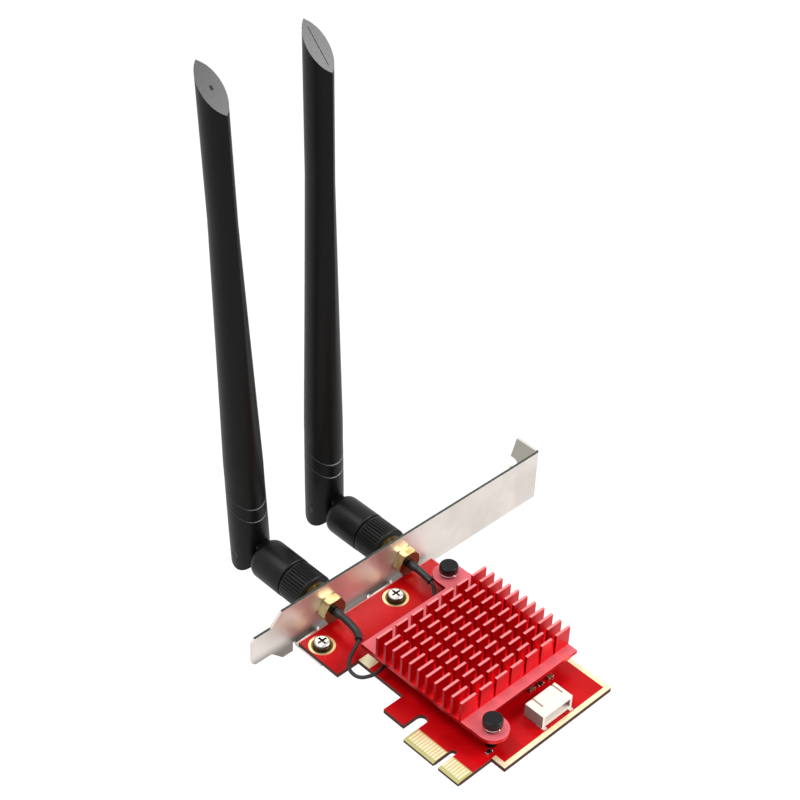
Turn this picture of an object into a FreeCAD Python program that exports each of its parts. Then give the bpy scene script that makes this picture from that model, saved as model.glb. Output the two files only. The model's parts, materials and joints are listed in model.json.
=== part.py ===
import FreeCAD, Part
import math
import os
import re
import Sketcher
from FreeCAD import Vector

# Wireless card for a desktop computer: a short edge-connector board that carries a small
# radio module under a pin-fin heatsink, a folded slot bracket with two screwed jacks, and
# two aerials, each a swivelling barrel with a bending knuckle and a long hollow blade.
#
# Frame, in millimetres: the origin is the middle of the key notch at the contact edge, on
# the board's middle plane. +X runs along the contact edge away from the bracket, +Y from
# the contact edge towards the bracket's folded end, +Z out of the component side.

os.makedirs("parts", exist_ok=True)
doc = FreeCAD.newDocument("wireless_card")

SIZES = {
    # board outline
    "board_thickness": 1.57,
    "board_gap": 1.6,
    "board_far": 13.45,
    "board_height": 57.1,
    "shoulder_far": 13.05,
    "shoulder_near": 11.0,
    "foot_height": 2.9,
    "foot_end": 42.7,
    "catch_height": 3.45,
    "catch_start": 24.2,
    "catch_end": 16.1,
    "catch_slot_depth": 10.4,
    "contact_end_near": 12.6,
    "contact_end_far": 8.6,
    "key_width": 1.9,
    "key_depth": 7.6,
    "edge_bevel_length": 1.1,
    "edge_bevel_depth": 0.32,
    # copper left bare and gilded
    "copper_thickness": 0.05,
    "contact_pitch": 1.0,
    "contact_width": 0.7,
    "contact_length": 4.15,
    "first_contact": 1.5,
    "border_width": 1.55,
    "border_start": 2.0,
    "patch_width": 4.5,
    "patch_depth": 3.8,
    # bracket
    "bracket_to_key": 61.2,
    "bracket_width": 18.42,
    "bracket_drop": 4.12,
    "bracket_fold_height": 106.8,
    "bracket_length": 120.02,
    "sheet_thickness": 0.86,
    "fold_radius": 0.45,
    "tongue_width": 10.19,
    "tongue_start": 112.75,
    "taper_start": 108.63,
    "tongue_corner": 1.2,
    "fold_depth": 11.43,
    "fold_corner_depth": 1.93,
    "fold_corner_height": 8.4,
    "notch_radius": 2.2,
    "notch_height": 7.8,
    "notch_depth": 3.33,
    "lug_width": 8.4,
    "lug_reach": 11.4,
    "lug_relief": 0.9,
    "lug_relief_rise": 0.8,
    # bracket screws
    "screw_x": 54.2,
    "screw_low": 7.2,
    "screw_high": 36.8,
    "screw_radius": 1.5,
    "screw_length": 4.0,
    "screw_head_radius": 2.7,
    "screw_head_height": 1.9,
    "screw_head_round": 0.9,
    "screw_pad_radius": 4.0,
    "screw_hole_radius": 1.6,
    "cross_length": 3.2,
    "cross_width": 0.7,
    "cross_depth": 1.1,
    "thread_clearance": 0.03,
    # jacks through the bracket
    "jack_low": 16.0,
    "jack_high": 46.4,
    "jack_hex": 8.0,
    "jack_hex_depth": 3.0,
    "hex_chamfer": 0.35,
    "jack_radius": 3.175,
    "jack_hole_radius": 3.25,
    "jack_reach": 11.3,
    "jack_mouth_radius": 2.32,
    "jack_mouth_depth": 1.9,
    "jack_floor": 0.8,
    "insulator_radius": 2.05,
    "jack_pin_radius": 0.46,
    "jack_pin_setback": 0.6,
    "washer_radius": 4.7,
    "washer_thickness": 0.6,
    "washer_gap": 0.8,
    "nut_thickness": 2.2,
    # leads behind the jacks
    "lead_radius": 0.565,
    "lead_clearance": 0.035,
    "ferrule_radius": 1.5,
    "ferrule_length": 1.4,
    "sleeve_radius": 1.1,
    "lead_straight_low": 8.2,
    "lead_straight_high": 7.8,
    # heatsink
    "sink_near": 42.4,
    "sink_far": 0.9,
    "sink_low": 11.7,
    "sink_margin": 1.3,
    "sink_gap": 5.2,
    "sink_base": 1.3,
    "fin_height": 6.9,
    "fin_first": 36.5,
    "fin_thickness": 0.8,
    "fin_pitch": 3.32,
    "fin_count": 11,
    "cross_cut_width": 1.8,
    "cross_cut_pitch": 6.15,
    "cross_cut_count": 6,
    "ear_radius": 4.85,
    "ear_hole_radius": 1.65,
    "push_near": 46.25,
    "push_far": 4.75,
    "push_inset": 5.0,
    # push pins
    "push_shank_radius": 1.5,
    "push_head_radius": 2.9,
    "push_head_height": 2.3,
    "push_head_round": 0.6,
    "push_barb_radius": 2.0,
    "push_barb_length": 2.6,
    "push_barb_tip": 1.0,
    "push_slit": 0.7,
    "push_slit_length": 3.4,
    "push_hole_radius": 1.6,
    "push_play": 0.05,
    "spring_height": 1.5,
    "spring_radius": 2.25,
    "spring_wire": 0.2,
    "spring_turns": 2,
    "spring_segment": 0.25,
    # radio module under the heatsink
    "module_gap": 2.4,
    "module_thickness": 0.8,
    "module_near": 37.5,
    "module_length": 27.5,
    "module_width": 22.0,
    "module_tongue": 2.4,
    "module_tongue_width": 19.85,
    "module_notch_radius": 1.75,
    "shield_near": 32.6,
    "shield_length": 20.0,
    "shield_width": 18.6,
    "shield_height": 1.5,
    "shield_wall": 0.25,
    "pad_size": 15.0,
    "socket_length": 6.2,
    "socket_width": 23.2,
    "socket_height": 4.3,
    "socket_gap": 0.05,
    "standoff_radius": 2.4,
    "module_screw_radius": 1.0,
    "module_screw_length": 2.9,
    "module_screw_head": 2.3,
    "module_screw_head_height": 0.6,
    "receptacle_size": 2.0,
    "receptacle_base": 0.3,
    "receptacle_radius": 0.75,
    "receptacle_height": 0.95,
    "receptacle_spread": 7.0,
    "receptacle_inset": 2.7,
    "plug_radius": 1.1,
    "plug_height": 1.1,
    "plug_wall": 0.31,
    "plug_arm": 1.5,
    "plug_arm_width": 1.6,
    # white header at the far edge
    "header_near": 4.0,
    "header_depth": 6.8,
    "header_low": 30.8,
    "header_width": 12.2,
    "header_height": 4.6,
    "header_wall": 0.9,
    "header_back": 1.2,
    "header_slot_width": 0.8,
    "header_slot_length": 4.0,
    "header_slot_inset": 2.8,
    "header_tab_thickness": 0.25,
    "header_tab_length": 3.0,
    "header_tab_width": 1.4,
    "header_tab_stick": 0.8,
    "pin_width": 0.5,
    "pin_pitch": 2.0,
    "pin_count": 5,
    "pin_height": 2.5,
    "pin_setback": 1.0,
    "pin_heel": 1.1,
    "pin_foot": 1.0,
    # small parts on the board
    "chip_length": 1.4,
    "chip_width": 1.1,
    "chip_cap": 0.4,
    "capacitor_height": 0.8,
    "resistor_height": 0.5,
    # aerial root: collar, coupling nut, core
    "collar_start": 6.0,
    "collar_end": 15.2,
    "collar_radius": 6.4,
    "collar_chamfer": 0.4,
    "collar_rib_count": 40,
    "collar_rib_depth": 0.35,
    "collar_rib_inset": 1.0,
    "coupling_start": 6.2,
    "coupling_end": 13.2,
    "coupling_radius": 4.5,
    "coupling_bore": 3.2,
    "coupling_floor": 0.6,
    "core_nose_radius": 2.27,
    "core_shoulder_radius": 3.05,
    "core_shoulder": 1.1,
    "core_radius": 2.5,
    "core_end": 21.0,
    "core_flange_radius": 3.25,
    "core_flange": 1.5,
    "core_floor": 2.0,
    "core_play": 0.05,
    "contact_radius": 0.85,
    "contact_bore": 0.5,
    "contact_start": 9.9,
    "contact_bore_depth": 3.0,
    # aerial barrel and knuckle
    "barrel_start": 15.4,
    "barrel_end": 29.5,
    "barrel_radius": 6.5,
    "barrel_round": 2.8,
    "barrel_edge": 0.3,
    "barrel_pocket_play": 0.1,
    "pivot_reach": 35.8,
    "tongue_radius": 5.0,
    "tongue_thickness": 4.4,
    "tongue_root": 2.5,
    "pivot_pin_radius": 1.25,
    "pivot_play": 0.04,
    "pivot_pin_inset": 0.15,
    # aerial blade
    "blade_radius": 6.1,
    "knuckle_radius": 6.0,
    "blade_shoulder": 8.0,
    "fork_width": 4.8,
    "fork_radius": 5.3,
    "blade_top": 165.0,
    "blade_tip_depth": 5.7,
    "blade_tip_width": 3.8,
    "tip_height": 157.5,
    "tip_slope": 45.0,
    "ring_low": 15.8,
    "ring_high": 20.8,
    "ring_slope": 29.0,
    "ring_width": 0.4,
    "ring_depth": 0.3,
    "blade_wall": 1.2,
    "blade_floor": 9.0,
    "blade_hollow_end": 148.0,
    "radiator_width": 5.6,
    "radiator_thickness": 0.8,
    "radiator_length": 110.0,
    "lean_low": 2.9,
    "lean_high": 1.1,
}

sheet = doc.addObject("Spreadsheet::Sheet", "sizes")
for row, (alias, number) in enumerate(SIZES.items(), start=1):
    sheet.set("A%d" % row, alias.replace("_", " "))
    sheet.set("B%d" % row, str(number))
    sheet.setAlias("B%d" % row, alias)
doc.recompute()

WORD = re.compile(r"[A-Za-z_]\w*")


def size(alias):
    """The number that the sheet holds under this name."""
    return float(getattr(sheet, alias))


def linked(formula):
    """A formula in plain size names, written as the document's expressions need it."""
    return WORD.sub(lambda m: "sizes." + m[0] if m[0] in SIZES else m[0], str(formula))


def bind(thing, field, formula):
    thing.setExpression(field, linked(formula))


def place(thing, x, y, z, turn="rotation(vector(0; 0; 1); 0)"):
    """Binds the thing's whole placement to formulas."""
    bind(thing, "Placement", "placement(vector(%s; %s; %s); %s)" % (x, y, z, turn))
    return thing


# Turns that lay a piece's own Z axis along another direction.
OUTWARD = "rotation(vector(0; 1; 0); -90)"
ALONG_Y = "rotation(vector(1; 0; 0); -90)"

# Heights and places that several pieces share.
TOP = "board_thickness / 2"
UNDER = "(-board_thickness / 2)"
COPPER_TOP = "(board_thickness / 2 + copper_thickness)"
FACE = "(-bracket_to_key)"
BOARD_NEAR = "(board_gap - bracket_to_key)"
BRACKET_LOW = "(board_thickness / 2 - bracket_drop)"
JACK_Z = "(board_thickness / 2 - bracket_drop + bracket_width / 2)"
SINK_LOW = "(board_thickness / 2 + sink_gap)"
SINK_TOP = "(board_thickness / 2 + sink_gap + sink_base)"
PUSH_HEAD = "(board_thickness / 2 + sink_gap + sink_base + spring_height)"
MODULE_LOW = "(board_thickness / 2 + module_gap)"
MODULE_TOP = "(board_thickness / 2 + module_gap + module_thickness)"
SINK_HIGH = "(board_height - sink_margin)"
SINK_MIDDLE = "((sink_low + board_height - sink_margin) / 2)"
PUSH_LOW = "(sink_low + push_inset)"
PUSH_HIGH = "(board_height - sink_margin - push_inset)"
CORE_NOSE = "(jack_reach - jack_mouth_depth + core_play)"
CORE_SHOULDER = "(jack_reach + core_play)"


def box(name, x, y, z, length, width, height):
    """A block with its low corner at x, y, z."""
    block = doc.addObject("Part::Box", name)
    bind(block, "Length", length)
    bind(block, "Width", width)
    bind(block, "Height", height)
    return place(block, x, y, z)


def cylinder(name, radius, height, x, y, z, turn="rotation(vector(0; 0; 1); 0)"):
    """A cylinder that starts at x, y, z."""
    round_bar = doc.addObject("Part::Cylinder", name)
    bind(round_bar, "Radius", radius)
    bind(round_bar, "Height", height)
    return place(round_bar, x, y, z, turn)


def fuse(name, *things):
    joined = doc.addObject("Part::MultiFuse", name)
    joined.Shapes = list(things)
    joined.Refine = True
    return joined


def common(name, *things):
    shared = doc.addObject("Part::MultiCommon", name)
    shared.Shapes = list(things)
    return shared


def cut(name, base, *tools):
    """The base with every tool taken away."""
    result = doc.addObject("Part::Cut", name)
    result.Base = base
    result.Tool = tools[0] if len(tools) == 1 else fuse(name + "_tools", *tools)
    result.Refine = True
    return result


def group(name, things):
    """Several separate solids that share one node."""
    gathered = doc.addObject("Part::Compound", name)
    gathered.Links = list(things)
    return gathered


def sketch_on(body, role, name):
    """A sketch on one of the body's own origin planes."""
    sketch = body.newObject("Sketcher::SketchObject", name)
    plane = [feature for feature in body.Origin.OriginFeatures if feature.Role == role][0]
    sketch.AttachmentSupport = [(plane, "")]
    sketch.MapMode = "FlatFace"
    return sketch


def outline(sketch, corners):
    """A closed outline of straight lines, each corner held by two formulas."""
    count = len(corners)
    rough = []
    for index in range(count):
        angle = 2 * math.pi * index / count
        rough.append(Vector(10 * math.cos(angle), 10 * math.sin(angle), 0))
    for index in range(count):
        sketch.addGeometry(Part.LineSegment(rough[index], rough[(index + 1) % count]))
    for index in range(count):
        sketch.addConstraint(Sketcher.Constraint("Coincident", index, 2, (index + 1) % count, 1))
    for index, (across, up) in enumerate(corners):
        for kind, formula in (("DistanceX", across), ("DistanceY", up)):
            held = sketch.addConstraint(Sketcher.Constraint(kind, -1, 1, index, 1, 1.0))
            bind(sketch, "Constraints[%d]" % held, formula)


def padded(name, role, corners, length, midplane=False, backwards=False):
    """A body: one outline pushed out to a length."""
    body = doc.addObject("PartDesign::Body", name)
    sketch = sketch_on(body, role, name + "_outline")
    outline(sketch, corners)
    pad = body.newObject("PartDesign::Pad", name + "_pad")
    pad.Profile = sketch
    pad.Midplane = midplane
    pad.Reversed = backwards
    bind(pad, "Length", length)
    return body


def turned(name, corners):
    """A body turned about its own Z axis: each corner is a radius and a height."""
    body = doc.addObject("PartDesign::Body", name)
    sketch = sketch_on(body, "XZ_Plane", name + "_profile")
    outline(sketch, corners)
    revolution = body.newObject("PartDesign::Revolution", name + "_turned")
    revolution.Profile = sketch
    revolution.ReferenceAxis = (sketch, ["V_Axis"])
    revolution.Angle = 360
    return body


def rounded(body, name, radius, picked):
    """Rounds each edge of the body's last feature that picked accepts."""
    doc.recompute()
    last = body.Tip
    edges = ["Edge%d" % (i + 1) for i, edge in enumerate(last.Shape.Edges) if picked(edge)]
    fillet = body.newObject("PartDesign::Fillet", name)
    fillet.Base = (last, edges)
    bind(fillet, "Radius", radius)
    return body


def is_rim(radius, height):
    """Says whether an edge is the full circle of this radius at this height."""
    def test(edge):
        if not isinstance(edge.Curve, Part.Circle):
            return False
        near_radius = abs(edge.Curve.Radius - radius) < 0.01
        return near_radius and abs(edge.Curve.Center.z - height) < 0.01
    return test


def hexagon(name, across, low, high):
    """Six flats about the Z axis, one of them facing +X."""
    prism = doc.addObject("Part::Prism", name)
    prism.Polygon = 6
    bind(prism, "Circumradius", "%s / 2 / cos(30)" % across)
    bind(prism, "Height", "%s - (%s)" % (high, low))
    return place(prism, 0, 0, low, "rotation(vector(0; 0; 1); 30)")


def hex_ring(name, across, bore, low, high):
    """A hexagon with a bore and its corners turned off at both ends."""
    corner = "(%s / 2 / cos(30) + 0.01)" % across
    flat = "(%s / 2)" % across
    disc = turned(name + "_disc", [
        (bore, low),
        (flat, low),
        (corner, "%s + hex_chamfer" % low),
        (corner, "%s - hex_chamfer" % high),
        (flat, high),
        (bore, high),
    ])
    return common(name, hexagon(name + "_flats", across, low, high), disc)


# Printed circuit board.
def make_board():
    blank = padded("board_blank", "XY_Plane", [
        (BOARD_NEAR, "board_height"),
        ("board_far", "board_height"),
        ("board_far", "shoulder_far"),
        ("contact_end_far", "shoulder_far"),
        ("contact_end_far", "0"),
        ("-contact_end_near", "0"),
        ("-contact_end_near", "catch_slot_depth - (catch_end - contact_end_near) / 2"),
        ("-catch_end", "catch_slot_depth - (catch_end - contact_end_near) / 2"),
        ("-catch_end", "catch_height"),
        ("-catch_start", "catch_height"),
        ("-catch_start", "shoulder_near"),
        ("-foot_end", "shoulder_near"),
        ("-foot_end", "foot_height"),
        (BOARD_NEAR, "foot_height"),
    ], "board_thickness", midplane=True)
    through = "board_thickness + 2"
    below = "(-board_thickness / 2 - 1)"
    slot_radius = "((catch_end - contact_end_near) / 2)"
    tools = [
        cylinder("slot_end", slot_radius, through,
                 "-(catch_end + contact_end_near) / 2", "catch_slot_depth - %s" % slot_radius, below),
        box("key_slot", "-key_width / 2", "-1", below,
            "key_width", "1 + key_depth - key_width / 2", through),
        cylinder("key_end", "key_width / 2", through, "0", "key_depth - key_width / 2", below),
        cylinder("push_hole_near", "push_hole_radius", through,
                 "-push_near", PUSH_HIGH, below),
        cylinder("push_hole_far", "push_hole_radius", through,
                 "push_far", PUSH_LOW, below),
    ]
    for name, height in (("low", "screw_low"), ("high", "screw_high")):
        tools.append(cylinder("screw_hole_" + name, "screw_hole_radius", through,
                              "-screw_x", height, below))
    for name, side in (("top", ""), ("under", "-")):
        tools.append(padded("edge_bevel_" + name, "YZ_Plane", [
            ("edge_bevel_length", side + "(board_thickness / 2)"),
            ("edge_bevel_length", side + "(board_thickness / 2 + 1)"),
            ("-1", side + "(board_thickness / 2 + 1)"),
            ("-1", side + "(board_thickness / 2 - edge_bevel_depth)"),
            ("0", side + "(board_thickness / 2 - edge_bevel_depth)"),
        ], "2 * catch_end - 1", midplane=True))
    return cut("circuit_board", blank, *tools)


# Gilded contacts: one row on each side of the board.
def make_contacts(name, low):
    pads = []
    for side, count in ((-1, 11), (1, 7)):
        for index in range(count):
            middle = "%d * (first_contact + %d * contact_pitch)" % (side, index)
            pads.append(box("%s_%d" % (name, len(pads) + 1), "%s - contact_width / 2" % middle,
                            "edge_bevel_length", low,
                            "contact_width", "contact_length", "copper_thickness"))
    return group(name, pads)


def make_border():
    far_strip = box("border_far", "board_far - border_width", "shoulder_far", TOP,
                    "border_width", "board_height - shoulder_far", "copper_thickness")
    top_strip = box("border_top", "-border_start", "board_height - border_width", TOP,
                    "board_far + border_start", "border_width", "copper_thickness")
    foot_strip = box("border_foot_strip", "contact_end_far", "shoulder_far", TOP,
                     "board_far - contact_end_far", "border_width", "copper_thickness")
    patch = box("border_patch", "-foot_end", "shoulder_near", TOP,
                "patch_width", "patch_depth", "copper_thickness")
    return group("ground_border", [fuse("border_ring", far_strip, top_strip, foot_strip), patch])


def make_screw_pads():
    pads = []
    for name, height in (("low", "screw_low"), ("high", "screw_high")):
        disc = cylinder("pad_disc_" + name, "screw_pad_radius", "copper_thickness",
                        "-screw_x", height, TOP)
        hole = cylinder("pad_hole_" + name, "screw_hole_radius", "3 * copper_thickness",
                        "-screw_x", height, "board_thickness / 2 - copper_thickness")
        pads.append(cut("screw_pad_" + name, disc, hole))
    return group("screw_pads", pads)


# Slot bracket: one folded sheet with a tongue, a notched top fold and two lugs.
def make_bracket():
    end = "(bracket_fold_height - bracket_length)"
    strip = padded("bracket_strip", "XY_Plane", [
        (FACE, end),
        (FACE, "bracket_fold_height"),
        (FACE + " - fold_depth", "bracket_fold_height"),
        (FACE + " - fold_depth", "bracket_fold_height - sheet_thickness"),
        (FACE + " - sheet_thickness", "bracket_fold_height - sheet_thickness"),
        (FACE + " - sheet_thickness", end),
    ], "bracket_width")
    place(strip, 0, 0, BRACKET_LOW)
    face_x = -size("bracket_to_key")
    fold_y = size("bracket_fold_height")
    thick = size("sheet_thickness")

    def upright(edge, x, y):
        middle = edge.CenterOfMass
        return abs(middle.x - x) < 0.01 and abs(middle.y - y) < 0.01

    rounded(strip, "fold_outside", "fold_radius + sheet_thickness",
            lambda edge: upright(edge, face_x, fold_y))
    rounded(strip, "fold_inside", "fold_radius",
            lambda edge: upright(edge, face_x - thick, fold_y - thick))
    tongue_y = "(bracket_fold_height - tongue_start)"
    taper_y = "(bracket_fold_height - taper_start)"
    step = "((bracket_width - tongue_width) / 2)"
    tools = []
    for name, base, sign in (("low", BRACKET_LOW, "+"), ("high", BRACKET_LOW + " + bracket_width", "-")):
        tools.append(padded("tongue_side_" + name, "YZ_Plane", [
            (end + " - 1", "%s %s (-1)" % (base, sign)),
            (taper_y, "%s %s (-1)" % (base, sign)),
            (taper_y, base),
            (tongue_y, "%s %s %s" % (base, sign, step)),
            (end + " + tongue_corner", "%s %s %s" % (base, sign, step)),
            (end, "%s %s (%s + tongue_corner)" % (base, sign, step)),
            (end + " - 1", "%s %s (%s + tongue_corner)" % (base, sign, step)),
        ], "2 * bracket_to_key + 4", midplane=True))
    notch_x = FACE + " - fold_depth + notch_depth - notch_radius"
    notch_z = BRACKET_LOW + " + notch_height"
    under_fold = "bracket_fold_height - sheet_thickness - 1"
    through = "sheet_thickness + 2"
    tools.append(cylinder("notch_round", "notch_radius", through, notch_x, under_fold, notch_z, ALONG_Y))
    tools.append(box("notch_mouth", FACE + " - fold_depth - 1", under_fold, notch_z + " - notch_radius",
                     "1 + notch_depth - notch_radius", through, "2 * notch_radius"))
    tools.append(padded("fold_corner", "XZ_Plane", [
        (FACE + " - fold_depth - 1", BRACKET_LOW + " + bracket_width + 1"),
        (FACE + " - fold_depth + fold_corner_depth", BRACKET_LOW + " + bracket_width + 1"),
        (FACE + " - fold_depth + fold_corner_depth", BRACKET_LOW + " + bracket_width"),
        (FACE + " - fold_depth", BRACKET_LOW + " + bracket_width - fold_corner_height"),
        (FACE + " - fold_depth - 1", BRACKET_LOW + " + bracket_width - fold_corner_height"),
    ], "bracket_fold_height + 2", backwards=True))
    for name, height in (("low", "jack_low"), ("high", "jack_high")):
        tools.append(cylinder("jack_hole_" + name, "jack_hole_radius", through,
                              FACE + " + 1", height, JACK_Z, OUTWARD))
    lugs = []
    screw_holes = []
    gap = "(lug_width + 2 * lug_relief)"
    for name, height in (("low", "screw_low"), ("high", "screw_high")):
        tools.append(box("lug_gap_" + name, FACE + " - sheet_thickness - 1",
                         "%s - %s / 2" % (height, gap), BRACKET_LOW + " - 1",
                         through, gap, UNDER + " - " + BRACKET_LOW + " + 1 + lug_relief_rise"))
        lug = padded("lug_" + name, "XZ_Plane", [
            (FACE, UNDER + " + lug_relief_rise"),
            (FACE + " - sheet_thickness", UNDER + " + lug_relief_rise"),
            (FACE + " - sheet_thickness", UNDER + " - sheet_thickness"),
            (FACE + " + lug_reach", UNDER + " - sheet_thickness"),
            (FACE + " + lug_reach", UNDER),
            (FACE, UNDER),
        ], "lug_width", midplane=True)
        under_z = -size("board_thickness") / 2

        def level(edge, x, z):
            middle = edge.CenterOfMass
            return abs(middle.x - x) < 0.01 and abs(middle.z - z) < 0.01

        rounded(lug, "lug_outside_" + name, "fold_radius + sheet_thickness",
                lambda edge: level(edge, face_x - thick, under_z - thick))
        rounded(lug, "lug_inside_" + name, "fold_radius",
                lambda edge: level(edge, face_x, under_z))
        place(lug, 0, height, 0)
        lugs.append(lug)
        screw_holes.append(cylinder("lug_thread_" + name, "screw_radius + thread_clearance", through,
                                    "-screw_x", height, UNDER + " - sheet_thickness - 1"))
    plate = cut("bracket_plate", strip, *tools)
    return cut("bracket", fuse("bracket_sheet", plate, *lugs), *screw_holes)


def make_screw(name, x, y, seat, shank, head, head_height, length, dome):
    """A pan-head screw, its head seated at a height."""
    body = turned(name + "_turned_body", [
        ("0", "-(%s)" % length),
        (shank, "-(%s)" % length),
        (shank, "0"),
        (head, "0"),
        (head, head_height),
        ("0", head_height),
    ])
    rounded(body, name + "_dome", dome, is_rim(size(head), size(head_height)))
    bars = []
    for key, along, across in (("a", "cross_length", "cross_width"), ("b", "cross_width", "cross_length")):
        bars.append(box("%s_cross_%s" % (name, key), "-%s / 2" % along, "-%s / 2" % across,
                        "%s - cross_depth" % head_height,
                        along, across, "cross_depth + 1"))
    return place(cut(name, body, *bars), x, y, seat)


# One jack: a hexagon inside the bracket and a threaded barrel that stands out of it.
def make_jack(number, height):
    lead_hole = "lead_radius + lead_clearance"
    tag = "_%d" % number
    head = hex_ring("jack_head" + tag, "jack_hex", lead_hole, "(-jack_hex_depth)", "0")
    barrel = turned("jack_barrel" + tag, [
        (lead_hole, "-jack_hex_depth / 2"),
        ("jack_radius", "-jack_hex_depth / 2"),
        ("jack_radius", "jack_reach - hex_chamfer"),
        ("jack_radius - hex_chamfer", "jack_reach"),
        ("jack_mouth_radius", "jack_reach"),
        ("jack_mouth_radius", "jack_reach - jack_mouth_depth"),
        ("insulator_radius", "jack_reach - jack_mouth_depth"),
        ("insulator_radius", "jack_floor"),
        (lead_hole, "jack_floor"),
    ])
    jack = place(fuse("jack_body" + tag, head, barrel), FACE, height, JACK_Z, OUTWARD)
    insulator = turned("jack_insulator" + tag, [
        ("jack_pin_radius", "jack_floor"),
        ("insulator_radius", "jack_floor"),
        ("insulator_radius", "jack_reach - jack_mouth_depth"),
        ("jack_pin_radius", "jack_reach - jack_mouth_depth"),
    ])
    place(insulator, FACE, height, JACK_Z, OUTWARD)
    pin = turned("jack_pin" + tag, [
        ("0", "jack_floor"),
        ("jack_pin_radius", "jack_floor"),
        ("jack_pin_radius", "jack_reach - jack_pin_setback - jack_pin_radius / 2"),
        ("jack_pin_radius / 2", "jack_reach - jack_pin_setback"),
        ("0", "jack_reach - jack_pin_setback"),
    ])
    place(pin, FACE, height, JACK_Z, OUTWARD)
    ferrule = turned("ferrule" + tag, [
        (lead_hole, "-jack_hex_depth - ferrule_length"),
        ("ferrule_radius", "-jack_hex_depth - ferrule_length"),
        ("ferrule_radius", "-jack_hex_depth"),
        (lead_hole, "-jack_hex_depth"),
    ])
    place(ferrule, FACE, height, JACK_Z, OUTWARD)
    return [jack, insulator, pin, ferrule]


def make_lock_washer(name, height):
    """A split ring that bites under the nut."""
    ring = turned(name + "_ring", [
        ("jack_hole_radius", "sheet_thickness"),
        ("washer_radius", "sheet_thickness"),
        ("washer_radius", "sheet_thickness + washer_thickness"),
        ("jack_hole_radius", "sheet_thickness + washer_thickness"),
    ])
    split = box(name + "_split", "jack_radius", "-washer_gap / 2", "sheet_thickness / 2",
                "washer_radius", "washer_gap", "sheet_thickness + washer_thickness")
    return place(cut(name, ring, split), FACE, height, JACK_Z, OUTWARD)


def make_jack_nut(name, height):
    nut = hex_ring(name, "jack_hex", "jack_radius + thread_clearance",
                   "(sheet_thickness + washer_thickness)",
                   "(sheet_thickness + washer_thickness + nut_thickness)")
    return place(nut, FACE, height, JACK_Z, OUTWARD)


# Pin-fin heatsink with a screwless ear at two opposite corners.
def make_heatsink():
    base = box("sink_plate", "-sink_near", "sink_low", SINK_LOW,
               "sink_near - sink_far + 2 * sink_far", SINK_HIGH + " - sink_low", "sink_base")
    block = padded("sink_block", "XY_Plane", [
        ("-fin_first", "sink_low"),
        ("-fin_first + (fin_count - 1) * fin_pitch + fin_thickness", "sink_low"),
        ("-fin_first + (fin_count - 1) * fin_pitch + fin_thickness", SINK_HIGH),
        ("-fin_first", SINK_HIGH),
    ], "fin_height")
    gap = sketch_on(block, "XZ_Plane", "fin_gap_outline")
    outline(gap, [
        ("-fin_first + fin_thickness", "0"),
        ("-fin_first + fin_pitch", "0"),
        ("-fin_first + fin_pitch", "fin_height + 1"),
        ("-fin_first + fin_thickness", "fin_height + 1"),
    ])
    first_gap = block.newObject("PartDesign::Pocket", "fin_gap")
    first_gap.Profile = gap
    first_gap.Type = "ThroughAll"
    first_gap.Reversed = False
    first_gap.Midplane = True
    row = block.newObject("PartDesign::LinearPattern", "fin_gaps")
    row.Originals = [first_gap]
    row.Direction = ([f for f in block.Origin.OriginFeatures if f.Role == "X_Axis"][0], [""])
    bind(row, "Length", "(fin_count - 2) * fin_pitch")
    bind(row, "Occurrences", "fin_count - 1")
    block.Tip = row
    doc.recompute()
    first_cut = "(%s - (cross_cut_count - 1) / 2 * cross_cut_pitch)" % SINK_MIDDLE
    slot = sketch_on(block, "YZ_Plane", "cross_cut_outline")
    outline(slot, [
        (first_cut + " - cross_cut_width / 2", "0"),
        (first_cut + " + cross_cut_width / 2", "0"),
        (first_cut + " + cross_cut_width / 2", "fin_height + 1"),
        (first_cut + " - cross_cut_width / 2", "fin_height + 1"),
    ])
    first_slot = block.newObject("PartDesign::Pocket", "cross_cut")
    first_slot.Profile = slot
    first_slot.Type = "ThroughAll"
    first_slot.Midplane = True
    column = block.newObject("PartDesign::LinearPattern", "cross_cuts")
    column.Originals = [first_slot]
    column.Direction = ([f for f in block.Origin.OriginFeatures if f.Role == "Y_Axis"][0], [""])
    bind(column, "Length", "(cross_cut_count - 1) * cross_cut_pitch")
    bind(column, "Occurrences", "cross_cut_count")
    block.Tip = column
    place(block, 0, 0, SINK_TOP)
    ears = []
    holes = []
    for name, x, y, reach in (("near", "-push_near", PUSH_HIGH, "push_near - sink_near"),
                              ("far", "push_far", PUSH_LOW, "push_far - sink_far")):
        start = x if name == "near" else "sink_far"
        ears.append(cylinder("ear_" + name, "ear_radius", "sink_base", x, y, SINK_LOW))
        ears.append(box("ear_web_" + name, start, "%s - ear_radius" % y, SINK_LOW,
                        reach, "2 * ear_radius", "sink_base"))
        holes.append(cylinder("ear_hole_" + name, "ear_hole_radius", "sink_base + 2",
                              x, y, SINK_LOW + " - 1"))
    return cut("heatsink", fuse("sink_whole", base, block, *ears), *holes)


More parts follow.
